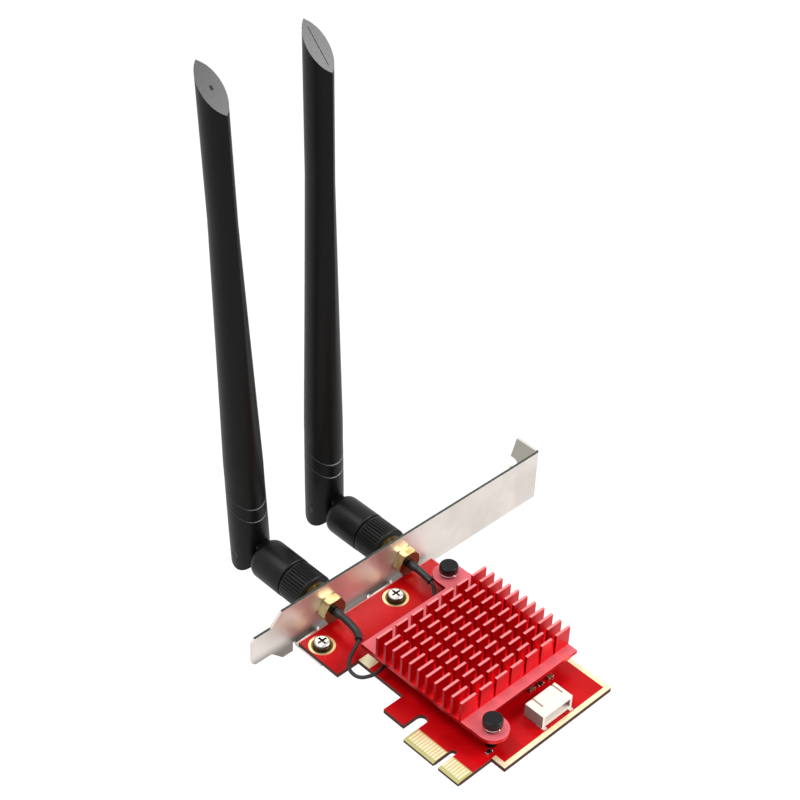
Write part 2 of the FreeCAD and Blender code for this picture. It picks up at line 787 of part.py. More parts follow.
# A barbed push pin and the small spring under its head.
def make_push_pin(number, x, y):
    tag = "_%d" % number
    barb = "(-board_thickness / 2 - push_play)"
    body = turned("push_pin_turned" + tag, [
        ("0", barb + " - push_barb_length"),
        ("push_barb_tip", barb + " - push_barb_length"),
        ("push_barb_radius", barb),
        ("push_shank_radius", barb),
        ("push_shank_radius", PUSH_HEAD),
        ("push_head_radius", PUSH_HEAD),
        ("push_head_radius", PUSH_HEAD + " + push_head_height"),
        ("0", PUSH_HEAD + " + push_head_height"),
    ])
    top = (size("board_thickness") / 2 + size("sink_gap") + size("sink_base")
           + size("spring_height") + size("push_head_height"))
    rounded(body, "push_pin_round" + tag, "push_head_round", is_rim(size("push_head_radius"), top))
    slit = box("push_pin_slit" + tag, "-push_slit / 2", "-push_head_radius",
               barb + " - push_barb_length - 1", "push_slit", "2 * push_head_radius",
               "push_slit_length + 1")
    pin = place(cut("push_pin" + tag, body, slit), x, y, 0)
    helix = doc.addObject("Part::Helix", "spring_line" + tag)
    rise = "(spring_height - 3 * spring_wire)"
    bind(helix, "Radius", "spring_radius")
    bind(helix, "Height", rise)
    bind(helix, "Pitch", "%s / spring_turns" % rise)
    bind(helix, "SegmentLength", "spring_segment")
    wire = doc.addObject("Part::Circle", "spring_section" + tag)
    bind(wire, "Radius", "spring_wire")
    place(wire, "spring_radius", 0, 0, "rotation(vector(1; 0; 0); 90)")
    spring = doc.addObject("Part::Sweep", "push_pin_spring" + tag)
    spring.Sections = [wire]
    spring.Spine = (helix, [])
    spring.Solid = True
    spring.Frenet = True
    place(spring, x, y, SINK_TOP + " + 1.5 * spring_wire")
    return [pin, spring]


# Radio module: a small board pressed flat by one screw, its can against the heatsink.
def make_module():
    low_y = SINK_MIDDLE + " - module_width / 2"
    main = box("module_plate", "-module_near", low_y, MODULE_LOW,
               "module_length", "module_width", "module_thickness")
    tongue = box("module_tongue_plate", "-module_near + module_length",
                 SINK_MIDDLE + " - module_tongue_width / 2", MODULE_LOW,
                 "module_tongue", "module_tongue_width", "module_thickness")
    notch = cylinder("module_notch", "module_notch_radius", "module_thickness + 2",
                     "-module_near", SINK_MIDDLE, MODULE_LOW + " - 1")
    board = cut("module_board", fuse("module_outline", main, tongue), notch)
    can = box("shield_outside", "-shield_near", SINK_MIDDLE + " - shield_width / 2", MODULE_TOP,
              "shield_length", "shield_width", "shield_height")
    inside = box("shield_inside", "-shield_near + shield_wall",
                 SINK_MIDDLE + " - shield_width / 2 + shield_wall", MODULE_TOP + " - 1",
                 "shield_length - 2 * shield_wall", "shield_width - 2 * shield_wall",
                 "shield_height + 1 - shield_wall")
    shield = cut("module_shield", can, inside)
    pad = box("thermal_pad", "-shield_near + (shield_length - pad_size) / 2",
              SINK_MIDDLE + " - pad_size / 2", MODULE_TOP + " + shield_height",
              "pad_size", "pad_size", "sink_gap - module_gap - module_thickness - shield_height")
    socket_x = "(-module_near + module_length + socket_gap)"
    housing = box("socket_block", socket_x, SINK_MIDDLE + " - socket_width / 2", TOP,
                  "socket_length", "socket_width", "socket_height")
    mouth = box("socket_mouth", socket_x + " - 1",
                SINK_MIDDLE + " - module_tongue_width / 2 - socket_gap",
                MODULE_LOW + " - socket_gap / 2",
                "1 + module_tongue", "module_tongue_width + 2 * socket_gap",
                "module_thickness + socket_gap")
    socket = cut("module_socket", housing, mouth)
    post = cylinder("standoff_post", "standoff_radius", "module_gap",
                    "-module_near", SINK_MIDDLE, TOP)
    thread = cylinder("standoff_thread", "module_screw_radius + thread_clearance", "module_gap + 2",
                      "-module_near", SINK_MIDDLE, "board_thickness / 2 - 1")
    standoff = cut("module_standoff", post, thread)
    screw = turned("module_screw_body", [
        ("0", "-module_screw_length"),
        ("module_screw_radius", "-module_screw_length"),
        ("module_screw_radius", "0"),
        ("module_screw_head", "0"),
        ("module_screw_head", "module_screw_head_height"),
        ("0", "module_screw_head_height"),
    ])
    slots = []
    for key, along, across in (("a", "module_screw_head", "cross_width"),
                               ("b", "cross_width", "module_screw_head")):
        slots.append(box("module_cross_" + key, "-%s / 2" % along, "-%s / 2" % across,
                         "module_screw_head_height / 3", along, across, "module_screw_head_height"))
    screw = place(cut("module_screw", screw, *slots), "-module_near", SINK_MIDDLE, MODULE_TOP)
    return [board, shield, pad, socket, standoff, screw]


RECEPTACLE_X = "(-module_near + receptacle_inset)"


def make_receptacles():
    """Two snap receptacles on the module and the small plugs pressed onto them."""
    receptacles = []
    plugs = []
    for name, side, turn in (("low", "-", "-90"), ("high", "+", "180")):
        y = "(%s %s receptacle_spread)" % (SINK_MIDDLE, side)
        base = box("receptacle_base_" + name, RECEPTACLE_X + " - receptacle_size / 2",
                   y + " - receptacle_size / 2", MODULE_TOP,
                   "receptacle_size", "receptacle_size", "receptacle_base")
        ring = cylinder("receptacle_ring_" + name, "receptacle_radius", "receptacle_height",
                        RECEPTACLE_X, y, MODULE_TOP)
        receptacles.append(fuse("receptacle_" + name, base, ring))
        cap = cylinder("plug_cap_" + name, "plug_radius", "plug_height", 0, 0, 0)
        arm = box("plug_arm_" + name, 0, "-plug_arm_width / 2", 0,
                  "plug_radius + plug_arm", "plug_arm_width", "plug_height")
        bore = cylinder("plug_bore_" + name, "plug_radius - plug_wall",
                        "receptacle_height - receptacle_base + 1", 0, 0, -1)
        plug = cut("plug_" + name, fuse("plug_body_" + name, cap, arm), bore)
        plugs.append(place(plug, RECEPTACLE_X, y, MODULE_TOP + " + receptacle_base",
                           "rotation(vector(0; 0; 1); %s)" % turn))
    return [group("module_receptacles", receptacles), group("coax_plugs", plugs)]


# White right-angle header: its mouth faces the far edge.
def make_header():
    floor = "(board_thickness / 2 + header_tab_thickness)"
    shell = box("header_block", "header_near", "header_low", floor,
                "header_depth", "header_width", "header_height")
    mouth = box("header_mouth", "header_near + header_back", "header_low + header_wall",
                floor + " + header_wall", "header_depth", "header_width - 2 * header_wall",
                "header_height - 2 * header_wall")
    tools = [mouth]
    for name, y in (("low", "header_low + header_slot_inset"),
                    ("high", "header_low + header_width - header_slot_inset / 2")):
        tools.append(box("header_slot_" + name, "header_near", "%s - header_slot_width / 2" % y,
                         floor + " + header_height - header_wall / 2",
                         "header_slot_length", "header_slot_width", "header_wall"))
    pins = []
    first = "(header_low + header_width / 2 - (pin_count - 1) / 2 * pin_pitch - pin_width / 2)"
    for index in range(int(size("pin_count"))):
        y = "%s + %d * pin_pitch" % (first, index)
        z = floor + " + pin_height - pin_width / 2"
        bar = box("pin_bar_%d" % index, "header_near - pin_heel", y, z,
                  "header_depth - pin_setback + pin_heel", "pin_width", "pin_width")
        leg = box("pin_leg_%d" % index, "header_near - pin_heel", y, TOP,
                  "pin_width", "pin_width", "header_tab_thickness + pin_height")
        foot = box("pin_foot_%d" % index, "header_near - pin_heel - pin_foot", y, TOP,
                   "pin_foot + pin_width", "pin_width", "pin_width / 2")
        pins.append(fuse("header_pin_%d" % index, bar, leg, foot))
        tools.append(box("pin_window_%d" % index, "header_near - 1", y, z,
                         "header_back + 2", "pin_width", "pin_width"))
    housing = cut("header_housing", shell, *tools)
    tabs = []
    for name, y in (("low", "header_low"), ("high", "header_low + header_width - header_tab_width")):
        tabs.append(box("header_tab_" + name,
                        "header_near + header_depth + header_tab_stick - header_tab_length", y, TOP,
                        "header_tab_length", "header_tab_width", "header_tab_thickness"))
    return [housing, group("header_contacts", pins), group("header_tabs", tabs)]


# Small parts soldered beside the heatsink, each by its middle and with its long side along Y.
CAPACITOR_PLACES = ((-0.9, 46.9), (-1.3, 39.6))
RESISTOR_PLACES = ((-1.1, 43.0), (6.6, 14.0))


def make_chips():
    blocks = {"capacitor": [], "resistor": []}
    caps = []
    for kind, places in (("capacitor", CAPACITOR_PLACES), ("resistor", RESISTOR_PLACES)):
        depth = "%s_height" % kind
        for index, (x, y) in enumerate(places):
            name = "%s_%d" % (kind, index)
            side = "%s - chip_width / 2" % x
            blocks[kind].append(box(name, side, "%s - chip_length / 2" % y, TOP,
                                    "chip_width", "chip_length", depth))
            for end, start in (("near", "%s - chip_length / 2 - chip_cap" % y),
                               ("far", "%s + chip_length / 2" % y)):
                caps.append(box("%s_%s" % (name, end), side, start, TOP,
                                "chip_width", "chip_cap", depth))
    return [group("capacitors", blocks["capacitor"]), group("resistors", blocks["resistor"]),
            group("solder_caps", caps)]


# One aerial, built along its own Z axis from the bracket's inner face outwards.
def make_aerial(number, height, lean):
    tag = "_%d" % number
    turn = "rotation(vector(1; 0; 0); %s) * %s" % (lean, OUTWARD)
    pieces = []

    def outward(piece):
        pieces.append(place(piece, FACE, height, JACK_Z, turn))

    collar = turned("collar" + tag, [
        ("coupling_radius", "collar_start"),
        ("collar_radius - collar_chamfer", "collar_start"),
        ("collar_radius", "collar_start + collar_chamfer"),
        ("collar_radius", "collar_end - collar_chamfer"),
        ("collar_radius - collar_chamfer", "collar_end"),
        ("core_radius + core_play", "collar_end"),
        ("core_radius + core_play", "coupling_end"),
        ("coupling_radius", "coupling_end"),
    ])
    rib = sketch_on(collar, "XY_Plane", "rib_outline" + tag)
    bind(rib, "AttachmentOffset", "placement(vector(0; 0; collar_start + collar_rib_inset);"
                                  " rotation(vector(0; 0; 1); 0))")
    half = "(collar_radius * tan(180 / collar_rib_count) / 2)"
    outline(rib, [
        ("collar_radius - collar_rib_depth", "0"),
        ("collar_radius + 0.1", "-" + half),
        ("collar_radius + 0.1", half),
    ])
    groove = collar.newObject("PartDesign::Pocket", "rib_groove" + tag)
    groove.Profile = rib
    groove.Reversed = True
    bind(groove, "Length", "collar_end - collar_start - 2 * collar_rib_inset")
    ribs = collar.newObject("PartDesign::PolarPattern", "ribs" + tag)
    ribs.Originals = [groove]
    ribs.Axis = ([f for f in collar.Origin.OriginFeatures if f.Role == "Z_Axis"][0], [""])
    ribs.Angle = 360
    bind(ribs, "Occurrences", "collar_rib_count")
    collar.Tip = ribs
    outward(collar)
    outward(turned("coupling_nut" + tag, [
        ("coupling_bore", "coupling_start"),
        ("coupling_radius", "coupling_start"),
        ("coupling_radius", "coupling_end"),
        ("core_radius + core_play", "coupling_end"),
        ("core_radius + core_play", "coupling_end - coupling_floor"),
        ("coupling_bore", "coupling_end - coupling_floor"),
    ]))
    outward(turned("plug_core" + tag, [
        ("insulator_radius", CORE_NOSE),
        ("core_nose_radius", CORE_NOSE),
        ("core_nose_radius", CORE_SHOULDER),
        ("core_shoulder_radius", CORE_SHOULDER),
        ("core_shoulder_radius", CORE_SHOULDER + " + core_shoulder"),
        ("core_radius", CORE_SHOULDER + " + core_shoulder"),
        ("core_radius", "core_end - core_flange"),
        ("core_flange_radius", "core_end - core_flange"),
        ("core_flange_radius", "core_end"),
        ("lead_radius", "core_end"),
        ("lead_radius", "core_end - core_floor"),
        ("insulator_radius", "core_end - core_floor"),
    ]))
    outward(turned("plug_insulator" + tag, [
        ("contact_radius", CORE_NOSE),
        ("insulator_radius", CORE_NOSE),
        ("insulator_radius", "core_end - core_floor"),
        ("contact_radius", "core_end - core_floor"),
    ]))
    outward(turned("plug_contact" + tag, [
        ("contact_bore", "contact_start"),
        ("contact_radius", "contact_start"),
        ("contact_radius", "core_end - core_floor"),
        ("0", "core_end - core_floor"),
        ("0", "contact_start + contact_bore_depth"),
        ("contact_bore", "contact_start + contact_bore_depth"),
    ]))
    outward(make_barrel(tag))
    blade_turn = "rotation(vector(1; 0; 0); %s)" % lean
    pivot_x = FACE + " - pivot_reach"
    for piece in (make_pivot_pin(tag), make_blade(tag), make_radiator(tag)):
        pieces.append(place(piece, pivot_x, height, JACK_Z, blade_turn))
    return pieces


def make_barrel(tag):
    """The swivelling barrel and the flat tongue that carries the knuckle pin."""
    body = turned("barrel_turned" + tag, [
        ("core_radius + core_play", "barrel_start"),
        ("barrel_radius - barrel_edge", "barrel_start"),
        ("barrel_radius", "barrel_start + barrel_edge"),
        ("barrel_radius", "barrel_end"),
        ("0", "barrel_end"),
        ("0", "core_end + 2 * barrel_pocket_play"),
        ("core_flange_radius + barrel_pocket_play", "core_end + 2 * barrel_pocket_play"),
        ("core_flange_radius + barrel_pocket_play", "core_end - core_flange - barrel_pocket_play"),
        ("core_radius + core_play", "core_end - core_flange - barrel_pocket_play"),
    ])
    rounded(body, "barrel_round" + tag, "barrel_round",
            is_rim(size("barrel_radius"), size("barrel_end")))
    plate = box("tongue_plate" + tag, "-tongue_radius", "-tongue_thickness / 2",
                "barrel_end - tongue_root", "2 * tongue_radius", "tongue_thickness",
                "pivot_reach - barrel_end + tongue_root")
    corner_fit = cylinder("tongue_fit" + tag, "barrel_radius - barrel_edge", "barrel_end",
                          0, 0, "barrel_end - tongue_root - 1")
    trimmed = common("tongue_trimmed" + tag, plate, corner_fit)
    end = cylinder("tongue_end" + tag, "tongue_radius", "tongue_thickness",
                   0, "-tongue_thickness / 2", "pivot_reach", ALONG_Y)
    hole = cylinder("tongue_hole" + tag, "pivot_pin_radius + pivot_play", "2 * blade_radius",
                    0, "-blade_radius", "pivot_reach", ALONG_Y)
    return cut("barrel" + tag, fuse("barrel_whole" + tag, body, trimmed, end), hole)


def make_pivot_pin(tag):
    length = "2 * (blade_radius - pivot_pin_inset)"
    pin = cylinder("pin_bar" + tag, "pivot_pin_radius", length,
                   0, "-(blade_radius - pivot_pin_inset)", 0, ALONG_Y)
    return group("knuckle_pin" + tag, [pin])


def taper(name, low, high, inset):
    """The blade's tapering form between two heights, drawn in by an inset."""
    sections = []
    share = "((%s - blade_shoulder) / (blade_top - blade_shoulder))"
    for key, at in (("low", low), ("high", high)):
        part = share % at
        section = doc.addObject("Part::Ellipse", "%s_%s" % (name, key))
        bind(section, "MajorRadius",
             "blade_radius - (blade_radius - blade_tip_depth) * %s - (%s)" % (part, inset))
        bind(section, "MinorRadius",
             "blade_radius - (blade_radius - blade_tip_width) * %s - (%s) - 0.0001" % (part, inset))
        sections.append(place(section, 0, 0, at))
    loft = doc.addObject("Part::Loft", name)
    loft.Sections = sections
    loft.Solid = True
    loft.Ruled = True
    return loft


def make_blade(tag):
    """A hollow blade whose lower end is a fork, open towards the card and downwards."""
    upper = taper("blade_taper" + tag, "blade_shoulder", "blade_top", "0")
    upright = cylinder("blade_root" + tag, "blade_radius", "blade_shoulder + blade_radius",
                       0, 0, "-blade_radius")
    knuckle = cylinder("knuckle_round" + tag, "knuckle_radius", "4 * blade_radius",
                       0, "-2 * blade_radius", 0, ALONG_Y)
    above = box("knuckle_above" + tag, "-2 * blade_radius", "-2 * blade_radius", 0,
                "4 * blade_radius", "4 * blade_radius", "blade_shoulder")
    below = box("knuckle_below" + tag, "-knuckle_radius", "-2 * blade_radius", "-2 * blade_radius",
                "2 * knuckle_radius", "4 * blade_radius", "2 * blade_radius")
    lower = common("blade_lower" + tag, upright,
                   fuse("knuckle_form" + tag, above, common("knuckle_half" + tag, knuckle, below)))
    slot_open = box("fork_open" + tag, 0, "-fork_width / 2", "-2 * blade_radius",
                    "2 * blade_radius", "fork_width", "2 * blade_radius + fork_radius")
    slot_down = box("fork_down" + tag, "-fork_radius", "-fork_width / 2", "-2 * blade_radius",
                    "fork_radius + blade_radius", "fork_width", "2 * blade_radius")
    slot_round = cylinder("fork_round" + tag, "fork_radius", "fork_width",
                          0, "-fork_width / 2", 0, ALONG_Y)
    pin_hole = cylinder("pin_hole" + tag, "pivot_pin_radius", "4 * blade_radius",
                        0, "-2 * blade_radius", 0, ALONG_Y)
    tip = box("tip_cut" + tag, "-4 * blade_radius", "-2 * blade_radius", 0,
              "8 * blade_radius", "4 * blade_radius", "4 * blade_radius")
    place(tip, "-4 * blade_radius * cos(tip_slope)", "-2 * blade_radius",
          "tip_height + 4 * blade_radius * sin(tip_slope)", "rotation(vector(0; 1; 0); tip_slope)")
    bind(tip, "Height", "6 * blade_radius")
    hollow = taper("blade_hollow" + tag, "blade_floor", "blade_hollow_end", "blade_wall")
    rings = []
    for name, at in (("low", "ring_low"), ("high", "ring_high")):
        slab = box("ring_slab_%s%s" % (name, tag), 0, "-2 * blade_radius", 0,
                   "4 * blade_radius", "4 * blade_radius", "ring_width")
        place(slab, "-2 * blade_radius * cos(ring_slope)", "-2 * blade_radius",
              "%s + 2 * blade_radius * sin(ring_slope)" % at,
              "rotation(vector(0; 1; 0); ring_slope)")
        core = taper("ring_core_%s%s" % (name, tag), "blade_shoulder", "2 * ring_high", "ring_depth")
        rings.append(cut("ring_%s%s" % (name, tag), slab, core))
    whole = fuse("blade_whole" + tag, upper, lower)
    return cut("blade" + tag, whole, slot_open, slot_down, slot_round, pin_hole, tip, hollow, *rings)


def make_radiator(tag):
    strip = box("radiator_strip" + tag, "-radiator_width / 2", "-radiator_thickness / 2",
                "blade_floor", "radiator_width", "radiator_thickness", "radiator_length")
    return group("radiator" + tag, [strip])


def corner_radius(before, corner, after):
    """The largest easy bend at a corner: 0.45 of the shorter run over half the turn's tangent."""
    first = corner - before
    second = after - corner
    return 0.45 * min(first.Length, second.Length) / math.tan(first.getAngle(second) / 2)


def route_edges(points, radii):
    """Straight runs joined by tangent arcs, one radius for each inner corner."""
    edges = []
    start = points[0]
    for before, corner, after, radius in zip(points, points[1:], points[2:], radii):
        back = (before - corner).normalize()
        ahead = (after - corner).normalize()
        half_turn = (math.pi - back.getAngle(ahead)) / 2
        reach = radius * math.tan(half_turn)
        enter = corner + back * reach
        leave = corner + ahead * reach
        inward = (back + ahead).normalize()
        middle = corner + inward * (radius / math.cos(half_turn) - radius)
        edges.append(Part.LineSegment(start, enter).toShape())
        edges.append(Part.Arc(enter, middle, leave).toShape())
        start = leave
    edges.append(Part.LineSegment(start, points[-1]).toShape())
    return edges


def swept(edges, radius):
    """A round bar along a route, checked against its section times its length."""
    wire = Part.Wire(edges)
    start = wire.Vertexes[0].Point
    heading = wire.Edges[0].tangentAt(wire.Edges[0].FirstParameter)
    section = Part.Wire([Part.makeCircle(radius, start, heading)])
    bar = wire.makePipeShell([section], True, True)
    expected = math.pi * radius ** 2 * wire.Length
    assert abs(bar.Volume / expected - 1) < 0.01, "a lead's sweep lost its section"
    return bar


def feature(name, shape):
    thing = doc.addObject("Part::Feature", name)
    thing.Shape = shape
    thing.Placement = FreeCAD.Placement()
    return thing


# Leads: from each jack's floor, past its ferrule, under the heatsink to a module plug.
def make_leads():
    """Two thin leads and the shrunk sleeves on their first stretch."""
    jack_z = size("board_thickness") / 2 - size("bracket_drop") + size("bracket_width") / 2
    face_x = -size("bracket_to_key")
    start_x = face_x - size("jack_floor")
    module_top = size("board_thickness") / 2 + size("module_gap") + size("module_thickness")
    plug_z = module_top + size("receptacle_base") + size("plug_height") / 2
    plug_x = -size("module_near") + size("receptacle_inset")
    middle_y = (size("sink_low") + size("board_height") - size("sink_margin")) / 2
    arm = size("plug_radius") + size("plug_arm")
    low_y = middle_y - size("receptacle_spread") - arm
    high_y = middle_y + size("receptacle_spread")
    routes = (
        [
            Vector(start_x, size("jack_low"), jack_z),
            Vector(face_x + size("lead_straight_low"), size("jack_low"), jack_z),
            Vector(-46.2, 15.3, 4.9),
            Vector(-42.8, 7.8, 4.5),
            Vector(-39.4, 3.9, 4.4),
            Vector(-34.9, 3.8, 4.4),
            Vector(-32.8, 8.2, 4.4),
            Vector(-34.0, 14.5, 4.5),
            Vector(plug_x, low_y - 4.5, plug_z),
            Vector(plug_x, low_y, plug_z),
        ],
        [
            Vector(start_x, size("jack_high"), jack_z),
            Vector(face_x + size("lead_straight_high"), size("jack_high"), jack_z),
            Vector(-47.9, 46.6, 4.4),
            Vector(plug_x - arm - 4.4, high_y, plug_z),
            Vector(plug_x - arm, high_y, plug_z),
        ],
    )
    covered = (0.7, 0.25)
    bore = size("lead_radius") + size("lead_clearance")
    sleeve_start = face_x + size("jack_hex_depth") + size("ferrule_length")
    pieces = []
    for number, (route, share) in enumerate(zip(routes, covered), start=1):
        radii = [corner_radius(*three) for three in zip(route, route[1:], route[2:])]
        print("lead %d bend radii:" % number, ", ".join("%.1f" % radius for radius in radii))
        edges = route_edges(route, radii)
        print("lead %d length: %.1f" % (number, Part.Wire(edges).Length))
        pieces.append(feature("coax_lead_%d" % number, swept(edges, size("lead_radius"))))
        entry = Vector(sleeve_start, route[0].y, route[0].z)
        bend = edges[3]
        first, last = bend.ParameterRange
        stretch = [
            Part.LineSegment(entry, edges[1].firstVertex().Point).toShape(),
            edges[1],
            edges[2],
            bend.Curve.toShape(first, first + share * (last - first)),
        ]
        tube = swept(stretch, size("sleeve_radius")).cut(swept(stretch, bore))
        pieces.append(feature("sleeve_%d" % number, tube))
    return pieces


nodes = [
    make_board(),
    make_contacts("contacts_component_side", TOP),
    make_contacts("contacts_solder_side", "-board_thickness / 2 - copper_thickness"),
    make_border(),
    make_screw_pads(),
    make_bracket(),
]
screws = []
washers = []
jack_nuts = []
for name, height in (("low", "screw_low"), ("high", "screw_high")):
    screws.append(make_screw("bracket_screw_" + name, "-screw_x", height, COPPER_TOP,
                             "screw_radius", "screw_head_radius", "screw_head_height",
                             "screw_length", "screw_head_round"))
for number, height in ((1, "jack_low"), (2, "jack_high")):
    nodes += make_jack(number, height)
    washers.append(make_lock_washer("lock_washer_%d" % number, height))
    jack_nuts.append(make_jack_nut("jack_nut_%d" % number, height))
nodes.append(group("bracket_screws", screws))
nodes.append(group("lock_washers", washers))
nodes.append(group("jack_nuts", jack_nuts))
nodes.append(make_heatsink())
nodes += make_push_pin(1, "-push_near", PUSH_HIGH)
nodes += make_push_pin(2, "push_far", PUSH_LOW)
nodes += make_module()
nodes += make_receptacles()
nodes += make_header()
nodes += make_chips()
nodes += make_leads()
nodes += make_aerial(1, "jack_low", "lean_low")
nodes += make_aerial(2, "jack_high", "lean_high")

doc.recompute()
failed = [thing.Name for thing in doc.Objects if {"Invalid", "Error"} & set(thing.State)]
assert not failed, "these objects failed: %s" % failed
for node in nodes:
    assert not node.Shape.isNull() and node.Shape.isValid(), "%s has no sound shape" % node.Label
    assert node.Shape.Volume > 0, "%s is empty" % node.Label

for node in nodes:
    node.Shape.exportStep("parts/%s.step" % node.Label)
print("%d nodes written" % len(nodes))
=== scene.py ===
# %% [markdown]
# # A wireless card with two bent aerials
#
# The card is already built as solids at its real size, and arrives here as the frame: one object
# for each piece, each on the body that moves it. This script gives every piece its finish, makes
# the few that need a finer shape again, and sets the card in a plain white room. Its units are
# metres, so small sizes are written in millimetres and multiplied by MM.

# %% Load the frame
import json
import math

import bmesh
import bpy
from mathutils import Matrix, Vector


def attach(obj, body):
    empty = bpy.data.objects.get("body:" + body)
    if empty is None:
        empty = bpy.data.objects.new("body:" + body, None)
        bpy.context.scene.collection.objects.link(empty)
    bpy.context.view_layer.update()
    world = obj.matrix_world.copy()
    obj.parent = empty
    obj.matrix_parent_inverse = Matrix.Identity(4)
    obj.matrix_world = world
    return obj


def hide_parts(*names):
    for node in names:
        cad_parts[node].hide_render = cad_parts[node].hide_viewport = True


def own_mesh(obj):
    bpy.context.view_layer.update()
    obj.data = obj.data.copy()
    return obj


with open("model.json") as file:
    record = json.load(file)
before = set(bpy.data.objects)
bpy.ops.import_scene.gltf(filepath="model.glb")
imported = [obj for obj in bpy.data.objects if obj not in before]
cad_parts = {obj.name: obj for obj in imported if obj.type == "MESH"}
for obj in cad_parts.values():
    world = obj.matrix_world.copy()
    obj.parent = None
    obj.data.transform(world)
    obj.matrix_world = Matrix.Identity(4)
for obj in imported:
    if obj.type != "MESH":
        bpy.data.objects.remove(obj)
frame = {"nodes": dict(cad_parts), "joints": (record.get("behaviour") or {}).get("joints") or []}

MM = 0.001
scene = bpy.context.scene
nodes = frame["nodes"]
joints = {joint["name"]: joint for joint in frame["joints"]}
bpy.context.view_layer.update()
print("pieces from the frame:", len(nodes))

# %% [markdown]
# ## The camera
#
# The photograph looks down over the corner between the card's contact edge and its free end, with
# a fairly long lens. The camera's direction, roll and distance were fitted to the corners of the
# bracket and the board, so they are plain numbers here. A camera could also aim itself with a
# Track To constraint, but that allows no roll, and other views have to move this camera freely.

# %% Camera at the photograph's viewing angle
PICTURE = 800
FOCAL_PIXELS = 1743.74
AZIMUTH = math.radians(44.917)
ELEVATION = math.radians(37.521)
ROLL = math.radians(2.171)
CAMERA_PLACE = Vector((212.60, -232.14, 366.42)) * MM

back = Vector((math.sin(AZIMUTH) * math.cos(ELEVATION),
               -math.cos(AZIMUTH) * math.cos(ELEVATION),
               math.sin(ELEVATION)))
level = Vector((0, 0, 1)).cross(back).normalized()
above = back.cross(level)
right = math.cos(ROLL) * level + math.sin(ROLL) * above
up = math.cos(ROLL) * above - math.sin(ROLL) * level

lens = bpy.data.cameras.new("photo_lens")
lens.sensor_width = 36.0
lens.lens = lens.sensor_width * FOCAL_PIXELS / PICTURE
lens.clip_start = 10 * MM
lens.clip_end = 20.0
camera = bpy.data.objects.new("photo_camera", lens)
camera.matrix_world = Matrix.Translation(CAMERA_PLACE) @ Matrix((right, up, back)).transposed().to_4x4()
scene.collection.objects.link(camera)
scene.camera = camera
print("lens %.1f mm" % lens.lens)

# %% [markdown]
# ## One wire through a material
#
# A material is a web of small nodes, and sums of nodes soon hide what they work out. This class
# holds one output of a node, and Python's own signs add the Math nodes: `1 - mask * 2` reads as
# the sum it is. Colours and vectors keep their three channels only in Mix and Vector Math nodes,
# so they have methods of their own.

# %% Sums on sockets
class Wire:
    """One output socket of a finish, on which arithmetic adds the nodes it needs."""

    def __init__(self, finish, socket):
        self.finish = finish
        self.socket = socket

    def maths(self, operation, *terms):
        """One Math node, fed with wires or plain numbers."""
        return self.finish.node("ShaderNodeMath", {"operation": operation}, dict(enumerate(terms)))

    def __add__(self, other):
        return self.maths("ADD", self, other)

    def __radd__(self, other):
        return self.maths("ADD", other, self)

    def __sub__(self, other):
        return self.maths("SUBTRACT", self, other)

    def __rsub__(self, other):
        return self.maths("SUBTRACT", other, self)

    def __mul__(self, other):
        return self.maths("MULTIPLY", self, other)

    def __rmul__(self, other):
        return self.maths("MULTIPLY", other, self)

    def __pow__(self, other):
        return self.maths("POWER", self, other)

    def step(self, low, high):
        """0 below low, 1 above high, and a smooth rise between them."""
        ramp = {"Value": self, "From Min": low, "From Max": high}
        return self.finish.node("ShaderNodeMapRange", {"interpolation_type": "SMOOTHSTEP"}, ramp)

    def past(self, place, blur=0.1):
        """A mask that begins at a place, in millimetres."""
        return self.step(place, place + blur)

    def size(self):
        """The same without its sign."""
        return self.maths("ABSOLUTE", self)

    def part(self, axis):
        """One coordinate of a vector."""
        return self.finish.node("ShaderNodeSeparateXYZ", {}, {"Vector": self}, output=axis)

    def stretched(self, x, y, z):
        """A vector with each part multiplied by a number of its own."""
        settings = {"operation": "MULTIPLY"}
        return self.finish.node("ShaderNodeVectorMath", settings, {0: self, 1: (x, y, z)})


print("sums on sockets: + - * **")

# %% [markdown]
# A finish is a material with one glossy surface shader. Values that are the same all over are
# written on the shader's own sockets. Only what changes over the surface comes in by wire.

